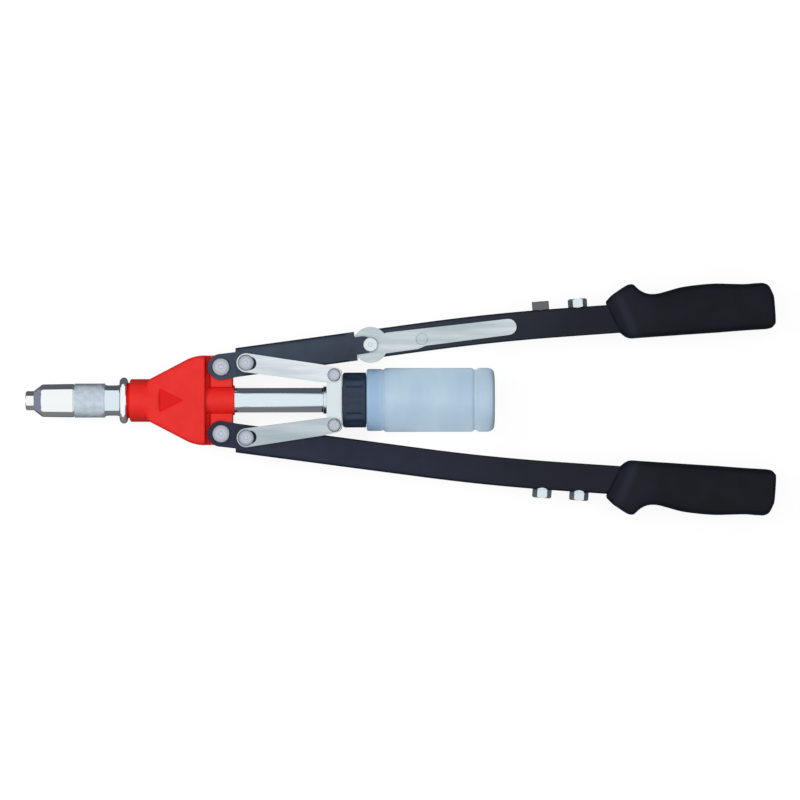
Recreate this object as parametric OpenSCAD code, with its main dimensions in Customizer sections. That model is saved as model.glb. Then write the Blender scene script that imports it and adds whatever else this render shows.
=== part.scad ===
// Long-arm lever hand riveter. Two arms swing about pivots in a cast body and draw a
// pull tube back through links, so that jaws inside the nose pull a rivet mandrel.
// X runs from the nose face towards the grips and Z is the direction of the pivots.
// The arms are drawn closed, with the tube pulled fully back.

/* [Nosepiece] */
// Width across the flats of every nosepiece hexagon
hex_af = 12; // [10:0.5:13]
// Length of the hexagon
hex_len = 6; // [4:0.5:8]
// Radius of the mandrel bore of the fitted nosepiece
mandrel_r = 1.6; // [1:0.05:2.3]
// Radius of the nosepiece thread
nose_thread_r = 5; // [4.4:0.1:5.4]
// Length of the nosepiece thread
nose_thread_len = 8; // [6:0.5:9]
// Radius of the tail that spreads the jaws
tail_r = 3.6; // [3:0.1:3.8]
// Length of the tail behind the thread
tail_len = 5.2; // [4:0.1:5.4]

/* [Nose housing] */
// Radius of the housing behind the hexagon
housing_tip_r = 7.1; // [7:0.1:8.5]
// Length of the housing's front cone
housing_cone_len = 5.8; // [5:0.1:9]
// Radius of the polished barrel
housing_r = 12; // [11.7:0.1:13]
// Length of the polished barrel
polished_len = 23.3; // [18:0.1:26]
// Length of the knurled grip band
knurl_len = 22; // [20:0.5:26]
// Radius over the knurled band
knurl_r = 12.3; // [12:0.1:13.5]
// Radius of the bore inside the housing and the nipple
housing_bore_r = 9.3; // [9.2:0.05:9.6]

/* [Nipple and lock ring] */
// Radius of the nipple's plain collar
collar_r = 11.2; // [10.9:0.1:11.8]
// Length of the nipple's collar between housing and lock ring
collar_len = 10.6; // [8:0.1:14]
// Radius of the nipple's two threaded ends
nipple_thread_r = 10.6; // [10.4:0.05:10.8]
// Length of the nipple's front thread inside the housing
nipple_front_len = 11; // [6:0.5:13]
// Length of the nipple's rear thread inside the body
nipple_rear_len = 14; // [8:0.5:20]
// Outside radius of the lock ring
ring_r = 16.6; // [15:0.1:18]
// Width of the lock ring
ring_w = 5.7; // [4:0.1:8]

/* [Body casting] */
// Radius of the round neck
neck_r = 15.4; // [14.8:0.1:16.5]
// Length of the round neck
neck_len = 16.4; // [15:0.1:20]
// Half the width of the body at its rear shoulder
wedge_half = 32.3; // [30:0.1:35]
// Half the thickness of the wedge
wedge_half_t = 14.5; // [13:0.1:14.6]
// Angle of the wedge's flanks to the axis
flank_angle = 27.7; // [25:0.1:32]
// Radius of the large curve from flank to shoulder
shoulder_r = 31; // [25:1:40]
// Radius of the wedge's rounded long edges
wedge_edge_r = 2.5; // [1:0.1:4]
// Depth of the triangular recesses in the wedge's faces
recess_d = 0.8; // [0.4:0.1:1.5]
// Half the width of a recess at its base
recess_half = 8.8; // [6:0.1:10]
// Distance from the start of the wedge to the base of a recess
recess_back = 6.7; // [5:0.1:10]
// Length of a recess from base to tip
recess_len = 18; // [12:0.5:20]
// Half the thickness of the rear lug
lug_half_t = 8; // [7:0.1:8.5]
// Radius of the lug's corners around the lever pivots
lug_r = 8.2; // [7.5:0.1:9]
// Radius of the tube boss in the lug
boss_r = 10.8; // [10.2:0.1:12]
// Distance by which the tube boss stands out behind the lug
boss_back = 1.4; // [0.5:0.1:2.5]

/* [Lever pivots and links] */
// Distance of the lever pivots behind the wedge
pivot_back = 11.2; // [10.2:0.1:14]
// Distance of the lever pivots from the axis
pivot_y = 24; // [22:0.1:26]
// Distance of the link pin behind the lever pivot
link_pin_back = 18.1; // [16.5:0.1:20]
// Distance of the link pin outside the lever pivot
link_pin_out = 2.9; // [1:0.1:5]
// Length of the links between their pins
link_len = 63.8; // [60:0.1:68]
// Distance of the yoke pins from the axis
yoke_pin_y = 18; // [16.5:0.1:20]
// Angle through which each arm opens
open_angle = 55; // [35:1:60]
// Half the link's width at the arm
link_half_w = 6.8; // [6.4:0.1:7.5]
// Half the link's width near the yoke
link_yoke_half_w = 6.2; // [5.6:0.1:6.7]
// Radius of the link's end at the yoke
link_end_r = 5.5; // [5:0.1:5.6]
// Thickness of the link plates
link_t = 3; // [2:0.1:4]
// Side clearance of the link pin in its slot
slot_side = 1.3; // [1.2:0.05:1.5]
// Travel of the link pin along its slot
slot_travel = 2.8; // [2.4:0.1:3.2]

/* [Pins] */
// Radius of the lever pivot pins
pivot_pin_r = 4.5; // [3.5:0.1:5]
// Radius of a lever pivot pin's head
pivot_head_r = 6.6; // [6:0.1:7.5]
// Radius of the link pins, the yoke pins and the knuckle pin
link_pin_r = 3.4; // [3:0.1:3.5]
// Radius of a link pin's head
link_head_r = 5.75; // [5.2:0.05:6]
// Radius of a yoke pin's head
yoke_head_r = 4.75; // [4.3:0.05:5.2]
// Radius of the knuckle pin's head
knuckle_head_r = 5.4; // [5:0.1:6]
// Height of the pin heads
head_h = 2.4; // [1.8:0.1:3]
// Thickness of the retaining rings
clip_t = 1.2; // [0.8:0.1:1.6]
// Radial clearance of a running pin
pin_gap = 0.05; // [0.02:0.01:0.1]
// Clearance between plates that slide past each other
plate_gap = 0.3; // [0.2:0.05:0.4]

/* [Lever arms] */
// Width of the arms
arm_w = 20.6; // [19:0.1:21.5]
// Thickness of the channel's side walls at the body
wall_t = 3; // [2:0.1:3.4]
// Thickness of the channel's outer web
web_t = 3; // [2:0.1:3.5]
// Distance from the pivot to the start of the web
web_start = 10.4; // [9:0.1:13]
// Depth by which the ears lie below the web's outer face
ear_drop = 2.9; // [1:0.1:4]
// Radius of the arm's eye around the lever pivot
eye_r = 9.4; // [8.8:0.1:10]
// Distance of the arm's centre line outside the pivot
arm_rise = 1.77; // [1:0.01:2.5]
// Slope angle of the arm's front part
front_slope = 7.66; // [6:0.01:9]
// Slope angle of the arm's rear part
rear_slope = 3.97; // [2:0.01:5]
// Distance from the pivot to the start of the bend
bend_start = 144.2; // [135:0.5:155]
// Length of the bend
bend_len = 100; // [70:1:120]
// Distance from the pivot to the end of the steel arm
arm_len = 387; // [350:1:390]
// Half the thickness of the arms behind the taper
rear_half_t = 6; // [5.5:0.1:6.5]
// Wall thickness of the arms behind the taper
rear_wall = 2.5; // [1.5:0.1:3]
// Distance from the pivot to the start of the lower arm's taper
taper_start = 82; // [70:1:95]
// Length of the lower arm's taper
taper_len = 72; // [50:1:90]

/* [Knuckle] */
// Distance from the lever pivot to the knuckle pin
knuckle_back = 107.3; // [100:0.1:115]
// Distance of the knuckle pin inside the arm's centre line
knuckle_drop = 0.5; // [0:0.1:1]
// Radius of the disc of the hinge plate
disc_r = 12.8; // [12.5:0.1:13.6]
// Half the width of the front arm's tongues
tongue_half = 6.3; // [5.6:0.1:7.5]
// Radius of the tongues' ends around the knuckle pin
tongue_r = 5.4; // [5:0.1:5.6]
// Thickness of the hinge plates
plate_t = 2; // [1.5:0.1:2.1]
// Length of the wide part of the hinge plate behind the knuckle pin
plate_wide_len = 33; // [28:0.5:36]
// Length of the hinge plate behind the knuckle pin
plate_len = 105; // [90:0.1:115]
// Width of arm left bare inside the wide part of the hinge plate
plate_edge = 2.1; // [0.4:0.1:3]
// Half the width of the narrow strap at the hinge end
strap_half = 6.6; // [6:0.1:7]
// Radius of the strap's round end
strap_end_r = 5.8; // [4:0.1:6]
// Distance from the knuckle pin to the plate rivet
rivet_back = 36.7; // [34:0.1:42]
// Distance of the rivet inside the arm's centre line
rivet_drop = 1.5; // [0:0.1:2.5]
// Radius of the rivet's head
rivet_head_r = 4.3; // [3.8:0.1:5]
// Length of the heel that stops the rear arm, ahead of the knuckle pin
heel_len = 14.6; // [13:0.1:15]

/* [Tube, yoke and jaws] */
// Outside radius of the pull tube
tube_r = 8.85; // [8.5:0.05:8.9]
// Radius of the mandrel passage through the tube
passage_r = 4; // [3.6:0.1:4.4]
// Clearance between the tube and its guide
guide_gap = 0.05; // [0.02:0.01:0.1]
// Thickness of the yoke along the axis
yoke_t = 11; // [10.6:0.1:12]
// Outside radius of the collar ahead of the yoke
tube_ring_r = 9.8; // [9.5:0.1:10.5]
// Width of the collar ahead of the yoke
tube_ring_w = 2.6; // [1.5:0.1:4]
// Half angle of the cone in the jaw case
cone_angle = 12; // [10:0.5:14]
// Distance that the jaws move back in their case when the nosepiece opens them
jaw_travel = 2.9; // [2:0.1:3]
// Gripping radius between the closed jaws
grip_r = 1.25; // [0.8:0.05:1.6]
// Outside radius of the jaw spring
spring_r = 4.7; // [4.5:0.05:4.8]
// Wire radius of the jaw spring
wire_r = 0.5; // [0.3:0.05:0.6]
// Number of turns of the jaw spring
spring_turns = 8; // [5:1:9]

/* [Collector] */
// Outside radius of the cap
cap_r = 19.8; // [19:0.1:21]
// Length of the fluted part of the cap
cap_len = 17; // [14:0.1:20]
// Length of the hub between the cap and the yoke
hub_len = 0.4; // [0.3:0.1:2]
// Number of flutes around the cap
flutes = 16; // [10:1:20]
// Radius of one flute
flute_r = 2.6; // [2:0.1:3]
// Outside radius of the bottle's body
bottle_r = 23; // [21.5:0.1:23.2]
// Length of the bottle behind the cap
bottle_len = 92; // [80:1:110]
// Wall thickness of the bottle
bottle_wall = 1.4; // [1:0.1:2]
// Length of the bottle's front band
band_len = 12; // [8:0.1:16]
// Length of the bottle's rear band
base_len = 13; // [10:0.1:18]
// Outside radius of the bottle's neck
bottle_neck_r = 16.9; // [15.5:0.1:17.2]

/* [Grips and store] */
// Length of the grips
grip_len = 120; // [110:1:126]
// Half the thickness of the grips
grip_half_t = 14; // [11:0.5:15]
// Thickness of the rubber on the outer edge of the arm
grip_outer_t = 10; // [7:0.1:11]
// Thickness of the rubber on the inner edge of the arm
grip_inner_t = 4.9; // [3:0.1:5.5]
// Distance by which the grip's front edge slants back towards the inner edge
grip_lean = 8.5; // [5:0.5:10]
// Length of the grip behind the end of the steel arm
grip_end_t = 11; // [6:0.5:14]
// Distance from the upper grip to the nearest stored nosepiece
store_upper = 20.7; // [18:0.1:28]
// Distance from the lower grip to the nearest stored nosepiece
store_lower = 20; // [18:0.1:28]
// Distance between the two stored nosepieces on an arm
store_pitch = 26.5; // [24:0.1:32]
// Length of the threaded block behind each stored nosepiece
store_block = 15; // [13:0.5:18]
// Mandrel bore radii of the four stored nosepieces
store_bores = [1.1, 1.3, 1.9, 2.2];

/* [Hidden] */
$fn = 64;
seat_gap = 0.05;
over = 1;

// Stations along the axis
housing_x = hex_len;
cone_end_x = housing_x + housing_cone_len;
knurl_x = cone_end_x + polished_len;
nipple_x = knurl_x + knurl_len;
ring_x = nipple_x + collar_len;
neck_x = ring_x + ring_w;
wedge_x = neck_x + neck_len;
shoulder_y = wedge_half - shoulder_r + shoulder_r * cos(flank_angle);
flank_end_x = wedge_x + (shoulder_y - neck_r) / tan(flank_angle);
wedge_end_x = flank_end_x + shoulder_r * sin(flank_angle);
pivot_x = wedge_end_x + pivot_back;
lug_end_x = pivot_x + lug_r;
front_wall_x = housing_x + nose_thread_len;

// The linkage: the pull tube's travel follows from the two ends of the links
link_pin = [pivot_x + link_pin_back, pivot_y + link_pin_out];
crank_r = sqrt(link_pin_back ^ 2 + link_pin_out ^ 2);
crank_angle = atan(link_pin_out / link_pin_back);
function eye(turn) = [pivot_x + crank_r * cos(crank_angle + turn),
    pivot_y + crank_r * sin(crank_angle + turn)];
function yoke_at(turn) = eye(turn).x + sqrt(link_len ^ 2 - (eye(turn).y - yoke_pin_y) ^ 2);
yoke_x = yoke_at(0);
stroke = yoke_x - yoke_at(open_angle);
link_angle = asin((link_pin.y - yoke_pin_y) / link_len);

// Heights of the stacked plates
wall_in = lug_half_t + plate_gap;
wall_out = wall_in + wall_t;
link_in = wall_out + plate_gap;
link_out = link_in + link_t;
link_seat = link_out + plate_gap;
plate_in = wall_in - plate_gap - plate_t;

// Jaw case, measured from its front face
case_gap = 0.6;
case_x = front_wall_x + case_gap + stroke;
case_lip = 1.4;
case_mouth_r = tail_r + 0.4;
case_bore_r = 7.05;
case_len = 26;
case_thread = 9;
jaw_front = 2;
jaw_len = 9.5;
jaw_skin = 0.06;
jaw_sector = 114;
jaw_back_r = 4.4;
jaw_throat_r = 2;
jaw_mouth = 1.2;
jaw_flare = 0.8;
pusher_back = 0.15;
pusher_nose = 2.3;
pusher_cone_r = 4.75;
pusher_bore = 1.9;
flange_r = 5.4;
flange_front = 12.2;
flange_back = 13.4;
stem_r = 3.3;
stem_end = 20;
spring_seat = 33;
spring_pocket_r = 5.2;
clip_groove = 0.5;
clip_width = 2.2;
pin_tail = 1.2;
function cone_r(x) = case_mouth_r + (x - case_lip) * tan(cone_angle);

// Arm centre line: straight, a gentle bend, straight again
arm_half = arm_w / 2;
bend_x = pivot_x + bend_start;
bend_end_x = bend_x + bend_len;
arm_end_x = pivot_x + arm_len;
web_x = pivot_x + web_start;
slope_a = tan(front_slope);
slope_b = tan(rear_slope);
function arm_slope(x) = x < bend_x ? slope_a : x > bend_end_x ? slope_b
    : slope_a + (slope_b - slope_a) * (x - bend_x) / bend_len;
function arm_y(x) = pivot_y + arm_rise + slope_a * (min(x, bend_x) - pivot_x)
    + (slope_a + arm_slope(x)) / 2 * (min(max(x, bend_x), bend_end_x) - bend_x)
    + slope_b * max(x - bend_end_x, 0);
function arm_at(x, off) = let (a = atan(arm_slope(x))) [x - off * sin(a), arm_y(x) + off * cos(a)];
function arm_xs(x0, x1) = concat([x0], [for (i = [0:8]) let (x = bend_x + i * bend_len / 8)
    if (x > x0 + 1 && x < x1 - 1) x], [x1]);
function reverse(v) = [for (i = [len(v) - 1:-1:0]) v[i]];

knuckle_x = pivot_x + knuckle_back;
knuckle = [knuckle_x, arm_y(knuckle_x) - knuckle_drop];
front_arm_end = knuckle_x - arm_half - plate_gap;
knuckle_web_end = front_arm_end - 1;
tongue_end = knuckle_x + tongue_r + over;

yoke_back_x = yoke_x + yoke_t / 2;
yoke_front_x = yoke_x - yoke_t / 2;
cap_x = yoke_back_x + hub_len;
cap_end_x = cap_x + cap_len;
cap_wall = 4;
cap_cavity_x = cap_x + cap_wall;
bottle_x = cap_end_x + plate_gap;
bottle_end_x = bottle_x + bottle_len;
tube_end_x = cap_cavity_x;
grip_x = arm_end_x + grip_end_t - grip_len;
store_x_upper = grip_x - store_upper - store_pitch;
store_x_lower = grip_x - store_lower - store_pitch;

function arc(c, r, a0, a1, n) = [for (i = [0:n]) let (a = a0 + (a1 - a0) * i / n)
    [c.x + r * cos(a), c.y + r * sin(a)]];

// Turned shapes: each profile point is [radius, distance along the axis]
module turned(profile) {
    rotate([0, 90, 0]) rotate_extrude() polygon(profile);
}
module rod(x0, x1, r) {
    translate([x0, 0, 0]) rotate([0, 90, 0]) cylinder(h = x1 - x0, r = r);
}
module post(at, z0, z1, r) {
    translate([at.x, at.y, z0]) cylinder(h = z1 - z0, r = r);
}
// Every outline that it is given becomes a plate of its own between two heights
module slab(z0, z1) {
    for (i = [0:$children - 1]) translate([0, 0, z0]) linear_extrude(z1 - z0) children(i);
}
module both_sides() {
    children();
    mirror([0, 1, 0]) children();
}
module top_and_bottom() {
    children();
    mirror([0, 0, 1]) children();
}

// A nosepiece with its face at the origin, pointing along X into its thread
module nosepiece_form(bore, turn = 30) {
    corner = hex_af / 2 / cos(30);
    chamfer = 0.9;
    tip = 1.2;
    tip_in = 0.8;
    lap = 0.5;
    difference() {
        union() {
            intersection() {
                rotate([0, 90, 0]) rotate(turn) cylinder(h = hex_len, r = corner, $fn = 6);
                turned([[0, 0], [corner - chamfer, 0], [corner + 0.1, chamfer],
                    [corner + 0.1, hex_len], [0, hex_len]]);
            }
            rod(hex_len - lap, hex_len + nose_thread_len, nose_thread_r);
            translate([hex_len + nose_thread_len - lap, 0, 0])
                turned([[0, 0], [tail_r, 0], [tail_r, tail_len + lap - tip],
                    [tail_r - tip_in, tail_len + lap], [0, tail_len + lap]]);
        }
        rod(-over, hex_len + nose_thread_len + tail_len + over, bore);
    }
}
module nosepiece() {
    color("gainsboro") nosepiece_form(mandrel_r);
}

module nose_housing() {
    groove = 0.5;
    edge = 0.8;
    cone_edge = 0.35;
    crown = 0.15;
    crown_len = 3;
    round_r = 1.2;
    color("silver") turned(concat(
        [[nose_thread_r + seat_gap, housing_x], [housing_tip_r, housing_x],
            [housing_r - cone_edge, cone_end_x], [housing_r - crown, cone_end_x + crown_len],
            [housing_r, knurl_x - crown_len], [housing_r - crown, knurl_x - edge],
            [housing_r - groove, knurl_x - edge], [housing_r - groove, knurl_x],
            [knurl_r, knurl_x + groove]],
        arc([knurl_r - round_r, nipple_x - round_r], round_r, 0, 90, 5),
        [[nipple_thread_r + seat_gap, nipple_x],
            [nipple_thread_r + seat_gap, nipple_x - nipple_front_len - over],
            [housing_bore_r, nipple_x - nipple_front_len - over],
            [housing_bore_r, front_wall_x], [nose_thread_r + seat_gap, front_wall_x]]));
}

module housing_nipple() {
    waist = 0.3;
    ease = 2.5;
    color("silver") turned([
        [housing_bore_r, nipple_x - nipple_front_len],
        [nipple_thread_r, nipple_x - nipple_front_len], [nipple_thread_r, nipple_x],
        [collar_r, nipple_x], [collar_r - waist, nipple_x + ease],
        [collar_r - waist, ring_x - ease], [collar_r, ring_x],
        [nipple_thread_r, ring_x], [nipple_thread_r, neck_x + nipple_rear_len],
        [housing_bore_r, neck_x + nipple_rear_len]]);
}

module lock_ring() {
    round_r = ring_w / 2;
    color("gainsboro") turned(concat(
        [[nipple_thread_r + seat_gap, ring_x]],
        arc([ring_r - round_r, ring_x + round_r], round_r, -90, 90, 10),
        [[nipple_thread_r + seat_gap, neck_x]]));
}

// The wedge in plan, with its flanks brought in by inset
neck_lap = 0.5;
function wedge_side(inset) = concat(
    [[wedge_x - neck_lap, neck_r - neck_lap * tan(flank_angle) - inset / cos(flank_angle)]],
    arc([wedge_end_x, wedge_half - shoulder_r], shoulder_r - inset, 90 + flank_angle, 90, 6));
function wedge_plan(inset) = concat(wedge_side(inset),
    [for (p = reverse(wedge_side(inset))) [p.x, -p.y]]);
module wedge() {
    hull() for (a = [0:30:90]) {
        inset = wedge_edge_r * (1 - cos(a));
        half = wedge_half_t - wedge_edge_r * (1 - sin(a));
        linear_extrude(2 * half, center = true) polygon(wedge_plan(inset));
    }
}
module lug_plan() {
    x0 = wedge_end_x - 2;
    corner = arc([pivot_x, pivot_y], lug_r, 90, 0, 6);
    polygon(concat([[x0, pivot_y + lug_r]], corner, [for (p = reverse(corner)) [p.x, -p.y]],
        [[x0, -pivot_y - lug_r]]));
}
module recess_plan() {
    base_x = wedge_x + recess_back;
    polygon([[base_x, -recess_half], [base_x, recess_half], [base_x + recess_len, 0]]);
}
module body_casting() {
    blend_len = 9;
    blend_in = 3;
    guide_len = 12;
    lap = 2;
    edge = 0.8;
    guide_x = wedge_end_x - guide_len;
    boss_end_x = lug_end_x + boss_back;
    color("crimson") difference() {
        union() {
            turned([[0, neck_x], [neck_r - edge, neck_x], [neck_r, neck_x + edge],
                [neck_r, wedge_x], [neck_r - blend_in, wedge_x + blend_len],
                [0, wedge_x + blend_len]]);
            wedge();
            slab(-lug_half_t, lug_half_t) lug_plan();
            rod(wedge_end_x - lap, boss_end_x - edge, boss_r);
            rod(boss_end_x - lap, boss_end_x, boss_r - edge);
        }
        rod(neck_x - over, neck_x + nipple_rear_len + over, nipple_thread_r + seat_gap);
        rod(neck_x + nipple_rear_len, guide_x, housing_bore_r + 0.1);
        rod(guide_x - over, boss_end_x + over, tube_r + guide_gap);
        both_sides() post([pivot_x, pivot_y], -lug_half_t - over, lug_half_t + over,
            pivot_pin_r + pin_gap);
        top_and_bottom() slab(wedge_half_t - recess_d, wedge_half_t + over) recess_plan();
    }
}

// A headed pin: domed head with a centre dimple above, a groove for its ring below
module pin(at, r, head_r, seat) {
    rim = 0.7;
    dimple_r = head_r * 0.3;
    dimple_d = 0.7;
    tail = clip_t + pin_tail;
    translate([at.x, at.y, 0]) rotate_extrude() polygon(concat(
        [[0, -seat - tail], [r - clip_groove, -seat - tail], [r, -seat - tail + clip_groove],
            [r, -seat - clip_t - seat_gap], [r - clip_groove, -seat - clip_t - seat_gap],
            [r - clip_groove, -seat], [r, -seat], [r, seat], [head_r, seat]],
        arc([head_r - rim, seat + head_h - rim], rim, 0, 90, 3),
        [[dimple_r, seat + head_h + 0.1], [dimple_r * 0.5, seat + head_h - dimple_d],
            [0, seat + head_h - dimple_d]]));
}
// An open retaining ring in a pin's groove
module clip(at, r, seat) {
    inner = r - clip_groove + seat_gap;
    outer = r + clip_width;
    slot_share = 1.1;
    slot = r * slot_share;
    translate([at.x, at.y, -seat - clip_t]) difference() {
        cylinder(h = clip_t, r = outer);
        translate([0, 0, -over]) cylinder(h = clip_t + 2 * over, r = inner);
        translate([0, -slot / 2, -over]) cube([outer + over, slot, clip_t + 2 * over]);
    }
}
pivot_seat = link_in;
module pivot_pin_upper() {
    color("silver") pin([pivot_x, pivot_y], pivot_pin_r, pivot_head_r, pivot_seat);
}
module pivot_pin_lower() {
    color("silver") pin([pivot_x, -pivot_y], pivot_pin_r, pivot_head_r, pivot_seat);
}
module pivot_clips() {
    color("dimgray") both_sides() clip([pivot_x, pivot_y], pivot_pin_r, pivot_seat);
}
module link_pin_upper() {
    color("silver") pin(link_pin, link_pin_r, link_head_r, link_seat);
}
module link_pin_lower() {
    color("silver") pin([link_pin.x, -link_pin.y], link_pin_r, link_head_r, link_seat);
}
module link_clip_upper() {
    color("dimgray") clip(link_pin, link_pin_r, link_seat);
}
module link_clip_lower() {
    color("dimgray") mirror([0, 1, 0]) clip(link_pin, link_pin_r, link_seat);
}
module yoke_pins() {
    color("silver") both_sides() pin([yoke_x, yoke_pin_y], link_pin_r, yoke_head_r, link_seat);
}
module yoke_clips() {
    color("dimgray") both_sides() clip([yoke_x, yoke_pin_y], link_pin_r, link_seat);
}
module knuckle_pin() {
    color("silver") pin(knuckle, link_pin_r, knuckle_head_r, wall_out);
}
module knuckle_clip() {
    color("dimgray") clip(knuckle, link_pin_r, wall_out);
}

// A link in plan: its yoke pin at the origin, its arm pin at link_len along X.
// The arm pin's hole is a slot, because the arm pin swings on a true arc.
module link_form() {
    slot_r = link_pin_r + slot_side;
    shoulder = 9;
    difference() {
        linear_extrude(link_t) polygon(concat(
            arc([0, 0], link_end_r, 270, 100, 10),
            [[shoulder, link_yoke_half_w]],
            arc([link_len, 0], link_half_w, 90, -90, 12),
            [[shoulder, -link_yoke_half_w]]));
        translate([0, 0, -over]) cylinder(h = link_t + 2 * over, r = link_pin_r + pin_gap);
        translate([link_len, 0, -over]) cylinder(h = link_t + 2 * over, r = slot_r);
        translate([link_len - slot_travel, 0, -over])
            cylinder(h = link_t + 2 * over, r = slot_r);
        translate([link_len - slot_travel, -slot_r, -over])
            cube([slot_travel, 2 * slot_r, link_t + 2 * over]);
    }
}
module upper_link(z) {
    color("gainsboro") translate([yoke_x, yoke_pin_y, z]) rotate(180 - link_angle) link_form();
}
module link_upper_top() {
    upper_link(link_in);
}
module link_upper_bottom() {
    upper_link(-link_out);
}
module link_lower_top() {
    mirror([0, 1, 0]) upper_link(link_in);
}
module link_lower_bottom() {
    mirror([0, 1, 0]) upper_link(-link_out);
}

// Arm outlines in plan, between two offsets from the centre line
module arm_strip(x0, x1, low, high) {
    polygon(concat([for (x = arm_xs(x0, x1)) arm_at(x, high)],
        reverse([for (x = arm_xs(x0, x1)) arm_at(x, low)])));
}
module disc_at(at, r) {
    translate([at.x, at.y]) circle(r = r);
}
// The side wall between the eye and the start of the web
module ear_plan() {
    polygon([[pivot_x, pivot_y + eye_r], arm_at(web_x + 0.5, arm_half - ear_drop),
        arm_at(web_x + 0.5, -arm_half), [pivot_x, pivot_y - eye_r]]);
}
module front_cavity(x1) {
    reach = 2 * eye_r;
    slab(-wall_in, wall_in) {
        translate([pivot_x - reach, -arm_half]) square([reach + web_start, 8 * arm_half]);
        arm_strip(web_x - over, x1, -2 * arm_half, arm_half - web_t);
    }
}
// The plate holes shared by both front arms
module arm_holes() {
    post([pivot_x, pivot_y], -wall_out - over, wall_out + over, pivot_pin_r + pin_gap);
    post(link_pin, -wall_out - over, wall_out + over, link_pin_r + pin_gap);
}
// The tongue's sides stay straight, then narrow under the head of the knuckle pin
module tongue_plan() {
    lap = 5;
    neck = 4.5;
    side = tongue_r - 0.2;
    polygon([arm_at(front_arm_end - lap, tongue_half), arm_at(knuckle_x - neck, tongue_half),
        arm_at(knuckle_x, side - knuckle_drop), arm_at(knuckle_x, -side - knuckle_drop),
        arm_at(knuckle_x - neck, -tongue_half), arm_at(front_arm_end - lap, -tongue_half)]);
}
module lever_upper_front() {
    color("darkslategray") difference() {
        slab(-wall_out, wall_out) {
            disc_at([pivot_x, pivot_y], eye_r);
            ear_plan();
            arm_strip(web_x, front_arm_end, -arm_half, arm_half);
            tongue_plan();
            disc_at(knuckle, tongue_r);
        }
        front_cavity(tongue_end);
        slab(-wall_in, wall_in)
            arm_strip(knuckle_web_end, tongue_end, -arm_half, 2 * arm_half);
        arm_holes();
        post(knuckle, -wall_out - over, wall_out + over, link_pin_r + seat_gap);
    }
}

// A stored nosepiece sits across the arm with its hexagon on the outer edge
module on_arm(x) {
    edge = arm_at(x, arm_half);
    translate([edge.x, edge.y, 0]) rotate(atan(arm_slope(x)) - 90) translate([-hex_len, 0, 0])
        children();
}
module store_hole(x) {
    end_room = 0.8;
    on_arm(x) rod(hex_len - over, hex_len + nose_thread_len + tail_len + end_room,
        nose_thread_r + seat_gap);
}
module rear_cavity(x0, first) {
    half = rear_half_t - rear_wall;
    gap = store_block / 2;
    slab(-half, half) {
        arm_strip(x0, first - gap, -2 * arm_half, arm_half - web_t);
        arm_strip(first + gap, first + store_pitch - gap, -2 * arm_half, arm_half - web_t);
        arm_strip(first + store_pitch + gap, arm_end_x + over, -2 * arm_half,
            arm_half - web_t);
    }
}

module lever_upper_rear() {
    solid_len = 15;
    heel_half = 3;
    lap = 0.5;
    first = store_x_upper;
    heel_top = arm_half - web_t - plate_gap;
    color("darkslategray") difference() {
        slab(-rear_half_t, rear_half_t) {
            disc_at(knuckle, arm_half);
            arm_strip(knuckle_x - lap, arm_end_x, -arm_half, arm_half);
            arm_strip(knuckle_x - heel_len, knuckle_x, -heel_half, heel_top);
        }
        rear_cavity(knuckle_x + solid_len, first);
        post(knuckle, -rear_half_t - over, rear_half_t + over, link_pin_r + pin_gap);
        rivet_hole();
        store_hole(first);
        store_hole(first + store_pitch);
    }
}
module lever_lower() {
    first = store_x_lower;
    x0 = pivot_x + taper_start;
    x1 = x0 + taper_len;
    near = pivot_x - 2 * eye_r;
    far = arm_end_x + over;
    color("darkslategray") mirror([0, 1, 0]) difference() {
        intersection() {
            slab(-wall_out, wall_out) {
                disc_at([pivot_x, pivot_y], eye_r);
                ear_plan();
                arm_strip(web_x, arm_end_x, -arm_half, arm_half);
            }
            depth_profile(wall_out, rear_half_t, x0, x1, near, far);
        }
        intersection() {
            front_cavity(x1 + over);
            depth_profile(wall_in, rear_half_t - rear_wall, x0, x1, near - over, far);
        }
        rear_cavity(x1, first);
        arm_holes();
        store_hole(first);
        store_hole(first + store_pitch);
    }
}
// The side view of a tapering channel, as a solid across both arms
module depth_profile(deep, shallow, x0, x1, from, to) {
    span = arm_y(to) + arm_w;
    translate([0, span, 0]) rotate([90, 0, 0]) linear_extrude(2 * span)
        polygon([[from, deep], [x0, deep], [x1, shallow], [to, shallow],
            [to, -shallow], [x1, -shallow], [x0, -deep], [from, -deep]]);
}

// Hinge plate: a disc, a wide part over the arm, then a tapering strap
rivet_at = arm_at(knuckle_x + rivet_back, -rivet_drop);
rivet_r = 2.5;
module rivet_hole() {
    post(rivet_at, -wall_out, wall_out, rivet_r + seat_gap);
}
// The part of the plate behind the disc, in plan
module strap_plan() {
    wide_x = knuckle_x + plate_wide_len;
    end_x = knuckle_x + plate_len - strap_end_r;
    notch_len = 3;
    notch_low = (arm_half - plate_edge + strap_half) / 2;
    polygon(concat(
        [arm_at(knuckle_x, 0), arm_at(knuckle_x + disc_r - 1, strap_half)],
        arc(arm_at(end_x, 0), strap_end_r, 90 + rear_slope, rear_slope - 90, 8),
        [arm_at(wide_x + 2 * notch_len, -strap_half), arm_at(wide_x + notch_len, -notch_low),
            arm_at(wide_x, plate_edge - arm_half),
            arm_at(knuckle_x + disc_r / 2, plate_edge - arm_half)]));
}
module hinge_plate(z) {
    color("lightgray") difference() {
        slab(z, z + plate_t) {
            disc_at(knuckle, disc_r);
            strap_plan();
        }
        post(knuckle, z - over, z + plate_t + over, link_pin_r + pin_gap);
        rivet_hole();
    }
}
module hinge_plate_top() {
    hinge_plate(plate_in);
}
module hinge_plate_bottom() {
    hinge_plate(-plate_in - plate_t);
}
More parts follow.
